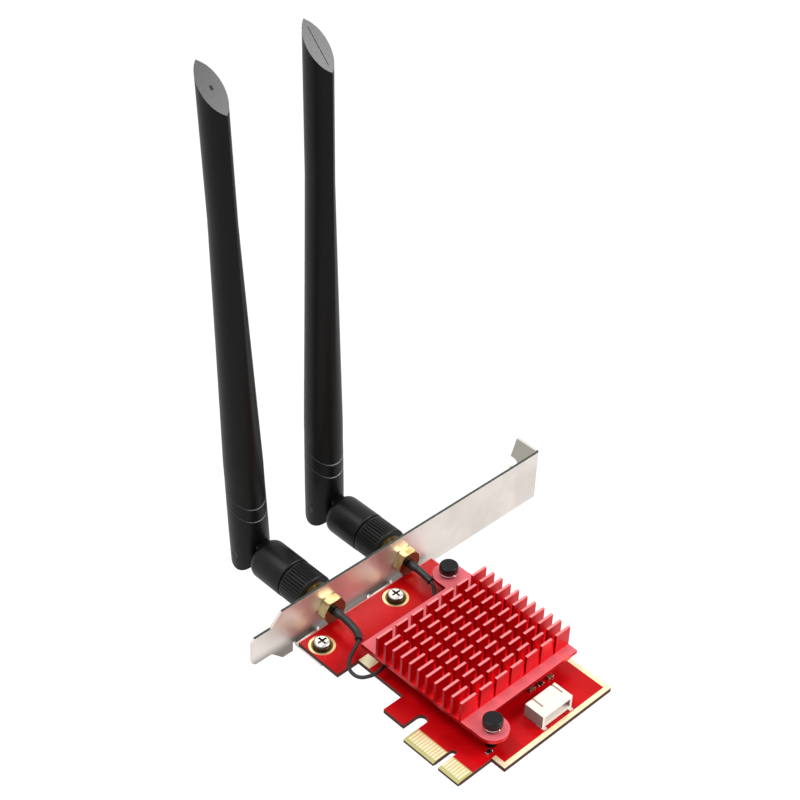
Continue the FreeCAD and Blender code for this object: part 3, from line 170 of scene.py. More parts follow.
# %% A finish
class Finish:
    """A material with a Principled shader, and one method that adds any other node."""

    def __init__(self, name, **constants):
        self.material = bpy.data.materials.new(name)
        self.material.use_nodes = True
        self.tree = self.material.node_tree
        self.shader = self.tree.nodes["Principled BSDF"]
        for socket, value in constants.items():
            self.shader.inputs[socket.replace("_", " ")].default_value = value

    def node(self, kind, settings=None, values=None, output=0):
        """Adds a node, sets it up, feeds its inputs, and hands back one of its outputs."""
        made = self.tree.nodes.new(kind)
        for setting, value in (settings or {}).items():
            setattr(made, setting, value)
        for socket, value in (values or {}).items():
            if isinstance(value, Wire):
                self.tree.links.new(value.socket, made.inputs[socket])
            else:
                made.inputs[socket].default_value = value
        return Wire(self, made.outputs[output])

    def place(self):
        """Where a point is on the piece, in millimetres."""
        metres = self.node("ShaderNodeTexCoord", output="Object")
        return metres.stretched(1 / MM, 1 / MM, 1 / MM)

    def facing(self, axis):
        """How far the surface faces along one of the piece's own axes, from -1 to 1."""
        return self.node("ShaderNodeTexCoord", output="Normal").part(axis)

    def noise(self, where, scale, detail=3.0, roughness=0.5):
        """Soft random values from 0 to 1; a larger scale makes finer ones."""
        values = {"Vector": where, "Scale": scale, "Detail": detail, "Roughness": roughness}
        return self.node("ShaderNodeTexNoise", {}, values)

    def blend(self, mask, first, second):
        """Goes from the first colour to the second as the mask goes from 0 to 1."""
        mix = self.tree.nodes.new("ShaderNodeMix")
        mix.data_type = "RGBA"
        sockets = {s.name: s for s in mix.inputs if s.type == "RGBA"}
        for name, tint in (("A", first), ("B", second)):
            if isinstance(tint, Wire):
                self.tree.links.new(tint.socket, sockets[name])
            else:
                sockets[name].default_value = (*tint, 1.0)
        self.tree.links.new(mask.socket, mix.inputs["Factor"])
        return Wire(self, [s for s in mix.outputs if s.type == "RGBA"][0])

    def bumps(self, height, depth_mm):
        """Normals of a surface that is lifted by up to a depth where height is 1."""
        values = {"Height": height, "Distance": depth_mm * MM, "Strength": 1.0}
        return self.node("ShaderNodeBump", {}, values)

    def drive(self, **wires):
        """Wires into the shader's own sockets, the only ones that may change over a surface."""
        for socket, wire in wires.items():
            self.tree.links.new(wire.socket, self.shader.inputs[socket.replace("_", " ")])
        print("finish %s: %d nodes" % (self.material.name, len(self.tree.nodes)))
        return self


def colour(red, green, blue):
    """A colour picked on a screen, as the shader's linear light."""
    return tuple(((c / 255 + 0.055) / 1.055) ** 2.4 if c > 10 else c / 255 / 12.92
                 for c in (red, green, blue))


print("a screen's middle grey sends out %.3f of white's light" % colour(128, 128, 128)[0])

# %% [markdown]
# ## From a surface to an object
#
# New shapes grow in a bmesh, which is Blender's editable surface. Once one is ready it becomes an
# object of the scene with one finish. Round parts are shaded smooth, but not over real corners.

# %% Objects from surfaces
CORNER = math.radians(30)


def made_object(name, surface, finish):
    """Turns a finished bmesh into an object of the scene."""
    data = bpy.data.meshes.new(name)
    surface.to_mesh(data)
    surface.free()
    data.materials.append(finish.material)
    piece = bpy.data.objects.new(name, data)
    scene.collection.objects.link(piece)
    return piece


def smooth_between_corners(surface):
    """Shades a surface smooth, apart from edges that turn by more than CORNER."""
    for face in surface.faces:
        face.smooth = True
    for edge in surface.edges:
        edge.smooth = edge.calc_face_angle(0.0) < CORNER


print("corners are sharp from %.0f degrees" % math.degrees(CORNER))

# %% [markdown]
# ## The room
#
# The card hangs over a plain pale floor, far enough down for the aerials to swing freely. White
# comes from the colour of the floor and of the air, seen by the camera and in reflections, and not
# from strong lamps, so the card's own colours come out as they are written.

# %% Floor
FLOOR_DROP = 172 * MM
FLOOR_HALF = 6.0
GLOW = 1.08
GLOW_SHARE = 0.8

floor_finish = Finish("pale_floor", Base_Color=(0.9, 0.9, 0.9, 1.0), Roughness=0.9)
seen = floor_finish.node("ShaderNodeLightPath", output="Is Camera Ray")
mirrored = floor_finish.node("ShaderNodeLightPath", output="Is Glossy Ray")
glow = floor_finish.node("ShaderNodeEmission", {}, {"Color": (1, 1, 1, 1), "Strength": GLOW})
share = (seen + mirrored) * GLOW_SHARE
lit = floor_finish.node("ShaderNodeMixShader", {}, {0: share, 2: glow})
floor_finish.tree.links.new(floor_finish.shader.outputs[0], lit.socket.node.inputs[1])
floor_finish.tree.links.new(lit.socket, floor_finish.tree.nodes["Material Output"].inputs[0])

sheet = bmesh.new()
bmesh.ops.create_grid(sheet, x_segments=1, y_segments=1, size=FLOOR_HALF,
                      matrix=Matrix.Translation((0, 0, -FLOOR_DROP)))
floor = made_object("floor", sheet, floor_finish)
print("floor %.0f mm below the board" % (FLOOR_DROP / MM))

# %% [markdown]
# The air is the light that comes from everywhere. The camera and mirrors see it as full white, and
# everything else gets a good deal less, so that hollows and undersides keep their shade. Two broad
# lamps add direction: one high up on the picture's right, and one almost overhead on its left.

# %% Air and lamps
AIR_LIGHT = 0.62

air = bpy.data.worlds.new("air")
air.use_nodes = True
scene.world = air
air_nodes = air.node_tree.nodes
air_links = air.node_tree.links
path = air_nodes.new("ShaderNodeLightPath")
direct = air_nodes.new("ShaderNodeMath")
direct.operation = "MAXIMUM"
strength = air_nodes.new("ShaderNodeMapRange")
strength.inputs["To Min"].default_value = AIR_LIGHT
strength.inputs["To Max"].default_value = 1.0
air_links.new(path.outputs["Is Camera Ray"], direct.inputs[0])
air_links.new(path.outputs["Is Glossy Ray"], direct.inputs[1])
air_links.new(direct.outputs[0], strength.inputs["Value"])
air_links.new(strength.outputs[0], air_nodes["Background"].inputs["Strength"])
air_nodes["Background"].inputs["Color"].default_value = (1, 1, 1, 1)


def soft_lamp(name, where, aim, width, power):
    """A square lamp that faces a place."""
    light = bpy.data.lights.new(name, "AREA")
    light.size = width
    light.energy = power
    lamp = bpy.data.objects.new(name, light)
    lamp.location = where
    lamp.rotation_euler = (aim - lamp.location).to_track_quat("-Z", "Y").to_euler()
    scene.collection.objects.link(lamp)


MIDDLE = Vector((-30, 30, 20)) * MM
soft_lamp("key_lamp", Vector((0.58, 0.62, 0.78)), MIDDLE, 0.45, 8.0)
soft_lamp("top_lamp", Vector((-0.35, -0.25, 1.05)), MIDDLE, 0.5, 5.0)
scene.view_settings.view_transform = "Standard"

# %% [markdown]
# ## Finishes
#
# The board is laminate under a glossy red mask. Soft islands of noise stand for the copper below,
# which lifts the mask a little. The sawn sides are dark laminate. The field between the contacts has
# no mask and is pale, and two of the board's edges carry a thin painted highlight along their top.

# %% Red solder mask
BARE_HEIGHT = 5.6
BARE_MIDDLE = -2.0
BARE_HALF = 10.7
NEAR_EDGE = -59.6
TOP_EDGE = 57.1
EDGE_HIGHLIGHT_WIDTH = 0.2

mask_finish = Finish("red_solder_mask", Specular_IOR_Level=0.18)
spot = mask_finish.place()
island = mask_finish.noise(spot, 0.09, 1.0).step(0.50, 0.53)
grain = mask_finish.noise(spot, 2.6, 4.0)
film = mask_finish.blend(island * 0.4 + grain * 0.3, colour(184, 2, 8), colour(206, 10, 18))
from_middle = (spot.part("X") - BARE_MIDDLE).size()
bare = (1 - spot.part("Y").past(BARE_HEIGHT)) * (1 - from_middle.past(BARE_HALF))
coated = mask_finish.blend(bare, film, colour(186, 182, 120))
# Two of the board's edges get a thin painted highlight along their top.
edge_highlight = 1 - (spot.part("X") - NEAR_EDGE).past(EDGE_HIGHLIGHT_WIDTH) * (TOP_EDGE - spot.part("Y")).past(EDGE_HIGHLIGHT_WIDTH)
coated = mask_finish.blend(edge_highlight, coated, colour(240, 150, 146))
side = 1 - mask_finish.facing("Z").size().step(0.4, 0.7)
mask_finish.drive(
    Base_Color=mask_finish.blend(side, coated, colour(78, 42, 34)),
    Roughness=0.24 + grain * 0.12 + side * 0.35,
    Normal=mask_finish.bumps(island * 0.6 + grain * 0.15, 0.02))

# %% [markdown]
# The contacts and the border are gilded copper. They are written as half metal: full metal took on
# the colours around it and turned orange, where the photo shows them pale. Fine scuffs spread their
# shine.

# %% Gilded copper
gilding = Finish("gilded_copper", Metallic=0.5)
spot = gilding.place()
cloud = gilding.noise(spot, 0.5)
scuff = gilding.noise(spot.stretched(1.0, 12.0, 1.0), 1.2)
gilding.drive(
    Base_Color=gilding.blend(cloud.step(0.3, 0.7), colour(250, 236, 186), colour(255, 246, 212)),
    Roughness=0.26 + scuff * 0.16,
    Normal=gilding.bumps(scuff, 0.004))

# %% [markdown]
# The bracket is plated sheet steel. Its shine is drawn out along Y, as if it was rolled that way:
# stretching the noise makes the streaks, and a slow cloud varies them. The photo shows its long
# edges dull and dark. The mask for them is the way the surface faces on the piece itself, which
# stays true when the piece moves. The plate's foot over the board is darker and the inside of its
# top fold greyer. In the photo that is light and shade, and here it is painted on.

# %% Nickel-plated sheet
PLATE_INSIDE = -61.2
PLATE_OUTSIDE = -62.1
FOOT_LOW = -1.0
FOOT_HIGH = 4.5
FOLD_FOOT = 90.0

nickel = Finish("nickel_plate", Metallic=1.0)
spot = nickel.place()
brushed = nickel.noise(spot.stretched(6.0, 0.12, 6.0), 2.2, 5.0, 0.6)
cloud = nickel.noise(spot, 0.07)
plate = nickel.blend(cloud.step(0.35, 0.7), colour(218, 210, 204), colour(232, 224, 218))
behind_inside = 1 - spot.part("X").past(PLATE_INSIDE + 0.1, 0.2)
in_plate = behind_inside * spot.part("X").past(PLATE_OUTSIDE - 0.3, 0.2)
sheared = nickel.facing("Z").size().step(0.75, 0.9) * in_plate
over_board = 1 - spot.part("Y").step(TOP_EDGE - 8.0, TOP_EDGE + 4.0)
foot = (1 - spot.part("Z").step(FOOT_LOW, FOOT_HIGH)) * nickel.facing("X").step(0.7, 0.9) * over_board
plate = nickel.blend(foot * (0.75 + cloud * 0.25), plate, colour(112, 104, 98))
in_fold = (-1 * nickel.facing("Y")).step(0.7, 0.9) * spot.part("Y").step(FOLD_FOOT - 10.0, FOLD_FOOT)
plate = nickel.blend(in_fold, plate, colour(172, 170, 160))
nickel.drive(
    Base_Color=nickel.blend(sheared, plate, colour(84, 92, 86)),
    Roughness=0.38 + brushed * 0.14 + cloud * 0.08,
    Normal=nickel.bumps(brushed, 0.004))

# %% [markdown]
# A screw head has a bright crown and dark sides: a painted highlight and painted shade. Its gilded
# pad has painted shade close to the head, so that only an outer ring stays pale. The two pads are
# mirror images about SCREW_MIDDLE, so one distance serves both.

# %% Screw heads and their pads
SCREW_X = -54.2
SCREW_MIDDLE = 22.0
SCREW_SPREAD = 14.8
HEAD_REACH = 3.15

screw_steel = Finish("screw_steel", Metallic=1.0)
spot = screw_steel.place()
cloud = screw_steel.noise(spot, 1.1)
# The crown's bright colour is a painted highlight, and the dark sides are painted shade.
crown_highlight = screw_steel.facing("Z").step(0.35, 0.9)
screw_steel.drive(
    Base_Color=screw_steel.blend(crown_highlight, colour(74, 66, 54), colour(206, 204, 202)),
    Roughness=0.14 + cloud * 0.16,
    Normal=screw_steel.bumps(cloud, 0.12))

pad_shade = Finish("gilded_pad_painted_shade", Metallic=1.0)
spot = pad_shade.place()
from_x = spot.part("X") - SCREW_X
from_y = ((spot.part("Y") - SCREW_MIDDLE).size() - SCREW_SPREAD).size()
reach = (from_x * from_x + from_y * from_y) ** 0.5
scuff = pad_shade.noise(spot, 2.0)
# The dark ring close to the head is painted shade; only the pad's outer ring keeps the pale gilding.
pad_shade.drive(
    Base_Color=pad_shade.blend(reach.past(HEAD_REACH, 0.25), colour(112, 88, 48), colour(244, 214, 164)),
    Roughness=0.26 + scuff * 0.2,
    Normal=pad_shade.bumps(scuff, 0.01))

# %% [markdown]
# Jacks are turned from brass and gilded. Turning leaves marks too fine to see one by one, which
# only spread the shine. The faces that look along the board are dark in the photo, and that shade
# is painted on.

# %% Gilded brass
brass = Finish("gilded_brass", Metallic=1.0)
spot = brass.place()
tarnish = brass.noise(spot, 0.45)
turning = brass.noise(spot.stretched(8.0, 0.6, 0.6), 2.5)
gilt = brass.blend(tarnish.step(0.35, 0.75), colour(202, 188, 142), colour(148, 128, 82))
front = brass.facing("X").step(0.8, 0.95)
brass.drive(
    Base_Color=brass.blend(front, gilt, colour(118, 104, 72)),
    Roughness=0.16 + turning * 0.14,
    Normal=brass.bumps(turning, 0.003))

# %% [markdown]
# A heatsink like this is aluminium, dyed red as it is anodised. The dye sits in a clear oxide over
# metal, so it reflects the room in red, and deeper red between the fins, where light is reflected
# many times. Light and shade are also painted on: the fins' ends get painted shade, a deeper red
# than their sides, the sides painted shade of a lesser depth, and their tops and the flat beside them
# a painted highlight, a paler red. That flat is also rougher, since together with the last fin it
# makes a corner that would throw the lamp straight back.

# %% Red anodised aluminium
FIN_TOP = 14.1
SINK_TOP = 7.285
FIRST_FIN = -36.5
LAST_FIN = -2.5

anodised = Finish("red_anodised", Metallic=0.8)
spot = anodised.place()
grain = anodised.noise(spot, 5.0, 4.0)
drawn = anodised.noise(spot.stretched(4.0, 0.15, 4.0), 1.5, 4.0)
upward = anodised.facing("Z").step(0.8, 0.95)
ends = (-1 * anodised.facing("Y")).step(0.8, 0.95)
sides = anodised.facing("X").step(0.8, 0.95)
on_top = upward * spot.part("Z").past(FIN_TOP - 0.2)
beside_fins = spot.part("X").past(LAST_FIN) + (1 - spot.part("X").past(FIRST_FIN - 0.1))
flat = upward * beside_fins * (1 - spot.part("Z").past(SINK_TOP + 0.2, 0.2))
dye_and_painted_light = anodised.blend(drawn, colour(212, 30, 42), colour(228, 44, 56))
# Painted shade on the fins' ends and sides, and a painted highlight on the flat and the fins' tops.
dye_and_painted_light = anodised.blend(ends, dye_and_painted_light, colour(168, 14, 24))
dye_and_painted_light = anodised.blend(sides, dye_and_painted_light, colour(206, 12, 26))
dye_and_painted_light = anodised.blend(flat, dye_and_painted_light, colour(224, 116, 124))
anodised.drive(
    Base_Color=anodised.blend(on_top, dye_and_painted_light, colour(252, 150, 152)),
    Roughness=0.30 + grain * 0.10 + flat * 0.30,
    Normal=anodised.bumps(grain * 0.6 + drawn * 0.4, 0.006))

# %% [markdown]
# The header is moulded in a cream plastic. Its side towards the contact edge is in shade in the
# photo, and that shade is painted on.

# %% Cream moulded housing
cream = Finish("cream_moulding")
spot = cream.place()
cloud = cream.noise(spot, 0.4)
moulded = cream.blend(cloud, colour(236, 226, 214), colour(246, 238, 228))
shaded = (-1 * cream.facing("Y")).step(0.6, 0.9)
cream.drive(
    Base_Color=cream.blend(shaded, moulded, colour(142, 128, 122)),
    Roughness=0.38 + cloud * 0.14,
    Normal=cream.bumps(cream.noise(spot, 4.0), 0.006))

# %% [markdown]
# The aerials are moulded in black plastic with an even, very fine grain. Black still has a range:
# the grain catches light, and slow clouds vary its depth.

# %% Black plastic of the aerials
grained = Finish("grained_black_plastic", Specular_IOR_Level=0.24)
spot = grained.place()
grain = grained.noise(spot, 3.2, 3.0, 0.6)
cloud = grained.noise(spot, 0.12, 2.0)
grained.drive(
    Base_Color=grained.blend(cloud, colour(7, 7, 6), colour(14, 14, 13)),
    Roughness=0.34 + grain * 0.12,
    Normal=grained.bumps(grain, 0.02))

# %% [markdown]
# Each blade ends in a slanting flat that shines. Its colour is a little paler there, a painted
# highlight under a real thin glossy coat, and so are the lower lips of the two rings, painted as thin
# bright lines. Each flat has a small dark mark, perhaps where the plastic entered: a dot on the first
# tip, and a fine seam along the second. It is measured from the blade's own hinge, along its own slope.

# %% The blades' plastic, with its slanting tip
TIP_FROM = 150.0
RINGS_BELOW = 38.0


def blade_finish(name, joint, seam_length, seam_width):
    """The plastic of one blade. The seam's two sizes are in millimetres, and equal ones make a dot."""
    plastic = Finish(name, Specular_IOR_Level=0.16, Coat_Roughness=0.22)
    spot = plastic.place()
    grain = plastic.noise(spot, 3.2, 3.0, 0.6)
    cloud = plastic.noise(spot, 0.12, 2.0)
    tip = plastic.facing("Z").step(0.55, 0.66) * spot.part("Z").past(TIP_FROM, 2.0)
    hinge_x, hinge_y, hinge_z = (place / MM for place in joint["pos_m"])
    lean = joint["axis"][2] / joint["axis"][1]
    across = spot.part("Y") - hinge_y + (spot.part("Z") - hinge_z) * lean
    along = spot.part("X") - hinge_x
    beyond_side = across.size().step(seam_width * 0.6, seam_width)
    beyond_end = along.size().step(seam_length * 0.9, seam_length)
    seam = (1 - beyond_side) * (1 - beyond_end)
    lip = plastic.facing("Z").step(0.45, 0.75) * (1 - spot.part("Z").past(RINGS_BELOW, 2.0))
    black = plastic.blend(cloud, colour(6, 6, 5), colour(12, 12, 11))
    # The tip's paler flat and the rings' pale lips are painted highlights, under a real glossy coat.
    black_and_painted_sheen = plastic.blend(tip, black, colour(40, 40, 42))
    black_and_painted_sheen = plastic.blend(lip, black_and_painted_sheen, colour(96, 96, 98))
    return plastic.drive(
        Base_Color=plastic.blend(tip * seam, black_and_painted_sheen, colour(8, 8, 8)),
        Roughness=0.36 + grain * 0.12,
        Coat_Weight=tip * (1 - seam) * 0.6 + lip,
        Normal=plastic.bumps(grain, 0.02))


blade_plastic = {1: blade_finish("black_blade_1", joints["tilt_1"], 0.5, 0.5),
                 2: blade_finish("black_blade_2", joints["tilt_2"], 4.2, 0.16)}

# %% [markdown]
# Most of the small parts need no mask of their own. Their finishes come from one function: soft
# clouds blend two near colours, and vary the shine and lift the surface a little with them. The
# parts are of steel, dull brass, black nylon, shrunk sleeve, white insulator, grey pad, fired
# ceramic, black film and green board.

# %% Finishes made of clouds
def clouded(name, first, second, scale, dullness, spread, lift_mm=0.0, detail=3.0, **constants):
    """Two near colours in clouds, with a roughness from dullness to dullness + spread."""
    finish = Finish(name, **constants)
    cloud = finish.noise(finish.place(), scale, detail)
    wires = {"Base_Color": finish.blend(cloud, first, second), "Roughness": dullness + cloud * spread}
    if lift_mm:
        wires["Normal"] = finish.bumps(cloud, lift_mm)
    return finish.drive(**wires)


steel = clouded("bright_steel", colour(196, 194, 190), colour(232, 230, 226),
                1.3, 0.16, 0.14, 0.006, Metallic=1.0)
dark_brass = clouded("dull_brass", colour(104, 92, 62), colour(136, 120, 84),
                     0.6, 0.32, 0.16, Metallic=1.0)
nylon = clouded("black_nylon", colour(8, 8, 9), colour(22, 22, 23),
                3.0, 0.28, 0.12, 0.01, Specular_IOR_Level=0.22)
rubbery = clouded("shrunk_black_sleeve", colour(12, 12, 12), colour(30, 30, 30), 0.9, 0.30, 0.2, 0.04)
waxy = clouded("white_insulator", colour(226, 224, 216), colour(240, 238, 232),
               0.8, 0.45, 0.1, detail=2.0)
pad = clouded("grey_thermal_pad", colour(128, 138, 150), colour(150, 158, 168), 1.5, 0.7, 0.15, 0.02)
ceramic = clouded("fired_ceramic", colour(92, 66, 44), colour(128, 96, 66), 2.0, 0.35, 0.2, 0.01)
black_film = clouded("black_film_resistor", colour(10, 10, 11), colour(26, 26, 28), 2.0, 0.25, 0.2, 0.01)
green = clouded("green_module_board", colour(14, 52, 34), colour(24, 74, 48), 0.8, 0.3, 0.15, 0.02)

# %% [markdown]
# ## Dressing the pieces from the frame
#
# Most pieces have their true shape already and only want a finish. Their meshes stay as they are:
# modifiers join the loose triangles, melt flat ones into whole faces, and then round the sharp
# edges by 0.03 to 0.12 mm, because a real edge is never perfectly sharp and it is the thin bright
# line along it that makes a piece look solid.

# %% A piece with softened edges
TOUCHING = 1e-6
FLAT = math.radians(0.6)
EDGE = math.radians(35)


def soften(piece, edge_mm):
    """Joins loose triangles, melts flat ones together, and rounds the edges that are left."""
    weld = piece.modifiers.new("join", "WELD")
    weld.merge_threshold = TOUCHING
    melt = piece.modifiers.new("melt_flats", "DECIMATE")
    melt.decimate_type = "DISSOLVE"
    melt.angle_limit = FLAT
    soft = piece.modifiers.new("soft_edge", "BEVEL")
    soft.limit_method = "ANGLE"
    soft.angle_limit = EDGE
    soft.width = edge_mm * MM
    soft.segments = 2
    soft.harden_normals = True


def dress(name, finish, edge_mm):
    """Gives a piece from the frame its finish, and rounds its edges unless edge_mm is 0."""
    piece = nodes[name]
    piece.data.materials.clear()
    piece.data.materials.append(finish.material)
    if edge_mm:
        soften(piece, edge_mm)


# %% [markdown]
# Each piece is listed once with its finish and the rounding of its edges in millimetres, where 0
# leaves them as they are. Pieces that come twice, as name_1 and name_2, have a list of their own.
# The blades, ferrules and springs aren't listed, since finer ones take their places below.

# %% Every piece gets its finish
DRESS = {
    "circuit_board": (mask_finish, 0.10), "contacts_component_side": (gilding, 0),
    "contacts_solder_side": (gilding, 0), "ground_border": (gilding, 0), "screw_pads": (pad_shade, 0),
    "bracket": (nickel, 0.12), "bracket_screws": (screw_steel, 0.06), "jack_nuts": (steel, 0.08),
    "lock_washers": (steel, 0.05), "heatsink": (anodised, 0.03), "module_board": (green, 0.05),
    "module_shield": (steel, 0.08), "thermal_pad": (pad, 0.1), "module_socket": (nylon, 0.08),
    "module_standoff": (brass, 0.05), "module_screw": (steel, 0.04),
    "module_receptacles": (brass, 0.03), "coax_plugs": (brass, 0.04),
    "header_housing": (cream, 0.12), "header_contacts": (steel, 0.03), "header_tabs": (steel, 0.05),
    "capacitors": (ceramic, 0.06), "resistors": (black_film, 0.04), "solder_caps": (steel, 0.06),
}
TWINS = {
    "jack_body": (brass, 0.08), "jack_insulator": (waxy, 0), "jack_pin": (brass, 0),
    "coax_lead": (rubbery, 0), "sleeve": (rubbery, 0), "push_pin": (nylon, 0.08),
    "collar": (grained, 0.08), "coupling_nut": (dark_brass, 0.06), "plug_core": (brass, 0),
    "plug_insulator": (waxy, 0), "plug_contact": (brass, 0), "barrel": (grained, 0.08),
    "knuckle_pin": (grained, 0.05), "radiator": (brass, 0),
}
for name, (finish, edge_mm) in DRESS.items():
    dress(name, finish, edge_mm)
for name, (finish, edge_mm) in TWINS.items():
    for number in (1, 2):
        dress("%s_%d" % (name, number), finish, edge_mm)
print("dressed:", sum(1 for o in nodes.values() if o.modifiers), "with softened edges")

# %% [markdown]
# ## The blades
#
# A blade leaves its knuckle round and becomes, on its way up, a lens: two shallow arcs that meet in
# a soft ridge towards the card and away from it. The solid from the frame has an ellipse there. A
# merged copy of its surface is moved from the one outline to the other, along the same directions
# from the axis, so the fork and the pin's hole stay as they are. Cuts at a few heights come first,
# because a straight facet can't follow a form that bends on its way. The sizes are in millimetres.

# %% The two outlines of a blade
FORK_TOP = 8.0
CAD_TOP = 165.0
ROOT_RADIUS = 6.1
CAD_DEPTH = 5.7
CAD_WIDTH = 3.8
SHOULDER = 26.0
WAIST = 118.0
LENS_DEPTH = 5.6
LENS_WIDTH = 3.5
TIP_HEIGHT = 157.5


def between(first, second, share):
    """A number on the way from the first to the second."""
    return first + (second - first) * min(max(share, 0.0), 1.0)


def ellipse_reach(direction, height):
    """How far the solid's outline is from the blade's axis in a direction."""
    share = (height - FORK_TOP) / (CAD_TOP - FORK_TOP)
    depth = between(ROOT_RADIUS, CAD_DEPTH, share)
    width = between(ROOT_RADIUS, CAD_WIDTH, share)
    return 1 / math.hypot(math.cos(direction) / depth, math.sin(direction) / width)


def lens_reach(direction, height):
    """The same for two arcs that meet in a ridge."""
    share = (height - SHOULDER) / (WAIST - SHOULDER)
    depth = between(ROOT_RADIUS, LENS_DEPTH, share)
    width = between(ROOT_RADIUS, LENS_WIDTH, share)
    bend = (depth ** 2 + width ** 2) / (2 * width)
    middle = bend - width
    across = middle * abs(math.sin(direction))
    return math.sqrt(bend ** 2 - (middle * math.cos(direction)) ** 2) - across


print("a blade's half width at the waist: %.2f mm in the solid, %.2f mm here"
      % (ellipse_reach(math.pi / 2, WAIST), lens_reach(math.pi / 2, WAIST)))

# %% [markdown]
# The two rings sit higher and steeper on the real blade than on the solid. They are moved in the
# same pass: RINGS pairs heights in the solid with heights on the finished blade, and the first and
# last pair stay where they are. A ring's slope grows from 29 to 33 degrees over RING_EASE.

# %% Reshape a blade
RINGS = ((8.0, 8.0), (15.8, 18.0), (21.2, 23.4), (29.0, 29.0))
RING_TURN = math.tan(math.radians(29.0))
RING_TURN_MORE = math.tan(math.radians(33.0)) - RING_TURN
RING_EASE = 7.8
LENS_RISE = 10.0
CUT_HEIGHTS = (27.0, 45.0, 70.0, 95.0, WAIST)
ON_PLANE = 0.02


def ring_height(height, x):
    """A point's new height, once the rings have moved."""
    along = height + x * RING_TURN
    for (low, new_low), (high, new_high) in zip(RINGS, RINGS[1:]):
        if low <= along < high:
            moved = new_low + (new_high - new_low) * (along - low) / (high - low)
            turn = min((along - RINGS[0][0]) / RING_EASE, (RINGS[-1][0] - along) / RING_EASE, 1.0)
            return moved - x * (RING_TURN + RING_TURN_MORE * turn)
    return height


def reshaped_blade(number):
    """A copy of a blade's surface, moved to its true outline in the blade's own axes."""
    joint = joints["tilt_%d" % number]
    pivot = Vector(joint["pos_m"])
    across = -Vector(joint["axis"])
    own_axes = Matrix((Vector((1, 0, 0)), across, Vector((1, 0, 0)).cross(across)))
    surface = bmesh.new()
    surface.from_mesh(nodes["blade_%d" % number].data)
    bmesh.ops.remove_doubles(surface, verts=surface.verts, dist=TOUCHING)
    for height in CUT_HEIGHTS:
        bmesh.ops.bisect_plane(surface, geom=surface.verts[:] + surface.edges[:] + surface.faces[:],
                               plane_co=pivot + own_axes.transposed() @ Vector((0, 0, height * MM)),
                               plane_no=own_axes[2])
    for vert in surface.verts:
        x, y, height = own_axes @ (vert.co - pivot) / MM
        on_slant = abs(height + x - TIP_HEIGHT) < ON_PLANE
        if height > SHOULDER:
            direction = math.atan2(y, x)
            scale = lens_reach(direction, height) / ellipse_reach(direction, height)
            scale = between(1.0, scale, (height - SHOULDER) / LENS_RISE)
            x, y = x * scale, y * scale
        height = TIP_HEIGHT - x if on_slant else ring_height(height, x)
        vert.co = pivot + own_axes.transposed() @ Vector((x, y, height)) * MM
    smooth_between_corners(surface)
    shell = made_object("blade_%d_shell" % number, surface, blade_plastic[number])
    attributes = shell.data.attributes
    if "custom_normal" in attributes:
        attributes.remove(attributes["custom_normal"])
    soften(shell, 0.08)
    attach(shell, "aerial_%d" % number)
    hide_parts("blade_%d" % number)
    return shell


for number in (1, 2):
    shell = reshaped_blade(number)
    print(shell.name, "has", len(shell.data.polygons), "faces")

# %% [markdown]
# ## The sleeves' mouths
#
# In the photo the sleeve behind each jack starts wide at the hexagon and narrows to the lead's own
# size, so it was probably shrunk over a ferrule and the lead together. A profile spun about the
# jack's axis gives this mouth, and it takes the place of the frame's ferrule.

# %% A spun piece along the card
HEX_DEPTH = 3.0
SPIN_STEPS = 48
MOUTH = ((0.05, 0.75), (0.05, 1.25), (0.2, 1.38), (1.5, 1.40), (1.9, 1.34), (2.6, 1.20),
         (3.0, 1.13), (3.0, 0.75))


def spun(name, profile, start, finish):
    """A closed profile of (along, radius) pairs in mm, spun about an axis along the card."""
    made = bmesh.new()
    corners = [made.verts.new(start + Vector((along, 0, radius)) * MM) for along, radius in profile]
    edges = [made.edges.new(pair) for pair in zip(corners, corners[1:] + corners[:1])]
    bmesh.ops.spin(made, geom=corners + edges, cent=start, axis=(1, 0, 0),
                   angle=2 * math.pi, steps=SPIN_STEPS, use_merge=True)
    bmesh.ops.recalc_face_normals(made, faces=made.faces)
    smooth_between_corners(made)
    return made_object(name, made, finish)


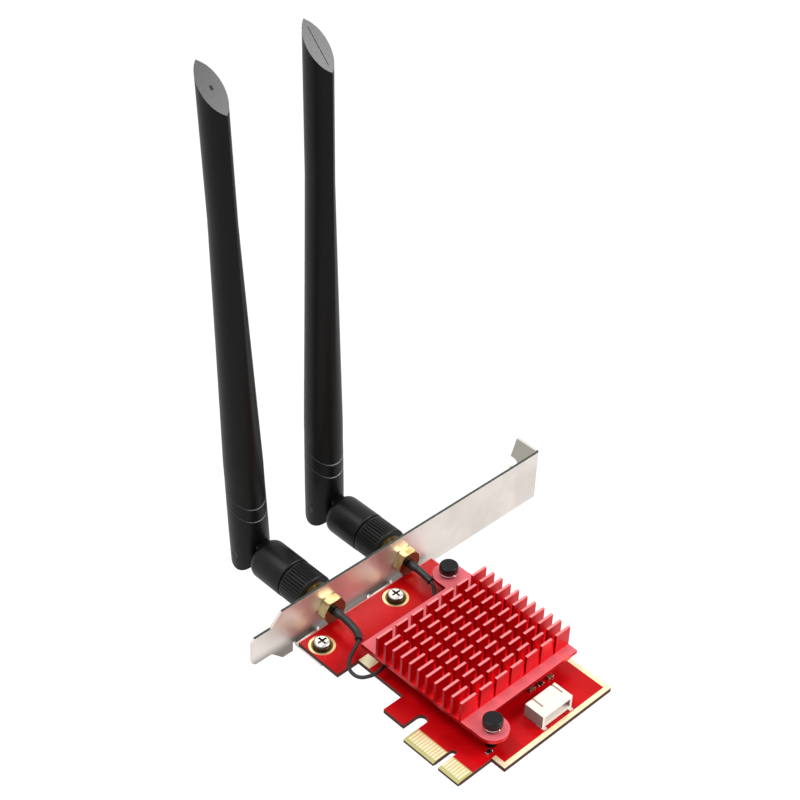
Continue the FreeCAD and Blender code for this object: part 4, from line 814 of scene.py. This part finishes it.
for number in (1, 2):
    jack = Vector(joints["swivel_%d" % number]["pos_m"])
    hexagon_end = Vector(((PLATE_INSIDE + HEX_DEPTH) * MM, jack.y, jack.z))
    mouth = spun("sleeve_mouth_%d" % number, MOUTH, hexagon_end, rubbery)
    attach(mouth, "card")
    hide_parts("ferrule_%d" % number)
print("sleeve mouths: %.1f mm long" % (MOUTH[-1][0] - MOUTH[0][0]))

# %% [markdown]
# ## The springs
#
# A short coil under each push pin's head keeps the heatsink pressed down. A small circle that turns
# and rises a little at each step makes the coil, and its two open ends are closed.

# %% Coil under a push pin
PINS = ((-46.25, 50.8), (4.75, 16.7))
COIL_RADIUS = 2.25
WIRE_RADIUS = 0.2
WIRE_SIDES = 12
SEAT_GAP = 0.1
COIL_RISE = 0.9
COIL_TURNS = 2
COIL_STEPS = 96


def coil(number, x, y):
    """An open coil that stands on the heatsink about a push pin."""
    seat = Vector((x, y, SINK_TOP)) * MM
    wire = bmesh.new()
    stand = Matrix.Translation(seat + Vector((COIL_RADIUS, 0, WIRE_RADIUS + SEAT_GAP)) * MM)
    bmesh.ops.create_circle(wire, segments=WIRE_SIDES, radius=WIRE_RADIUS * MM,
                            matrix=stand @ Matrix.Rotation(math.pi / 2, 4, "X"))
    bmesh.ops.spin(wire, geom=wire.verts[:] + wire.edges[:], cent=seat, axis=(0, 0, 1),
                   dvec=Vector((0, 0, COIL_RISE / COIL_STEPS)) * MM,
                   angle=2 * math.pi * COIL_TURNS, steps=COIL_STEPS)
    bmesh.ops.holes_fill(wire, edges=[edge for edge in wire.edges if edge.is_boundary])
    bmesh.ops.recalc_face_normals(wire, faces=wire.faces)
    for face in wire.faces:
        face.smooth = len(face.verts) < WIRE_SIDES
    piece = made_object("spring_%d_coil" % number, wire, steel)
    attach(piece, "card")
    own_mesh(piece)
    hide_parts("push_pin_spring_%d" % number)
    return piece


for number, (x, y) in enumerate(PINS, start=1):
    heights = [corner[2] / MM for corner in coil(number, x, y).bound_box]
    print("coil %d from %.2f to %.2f mm" % (number, min(heights), max(heights)))
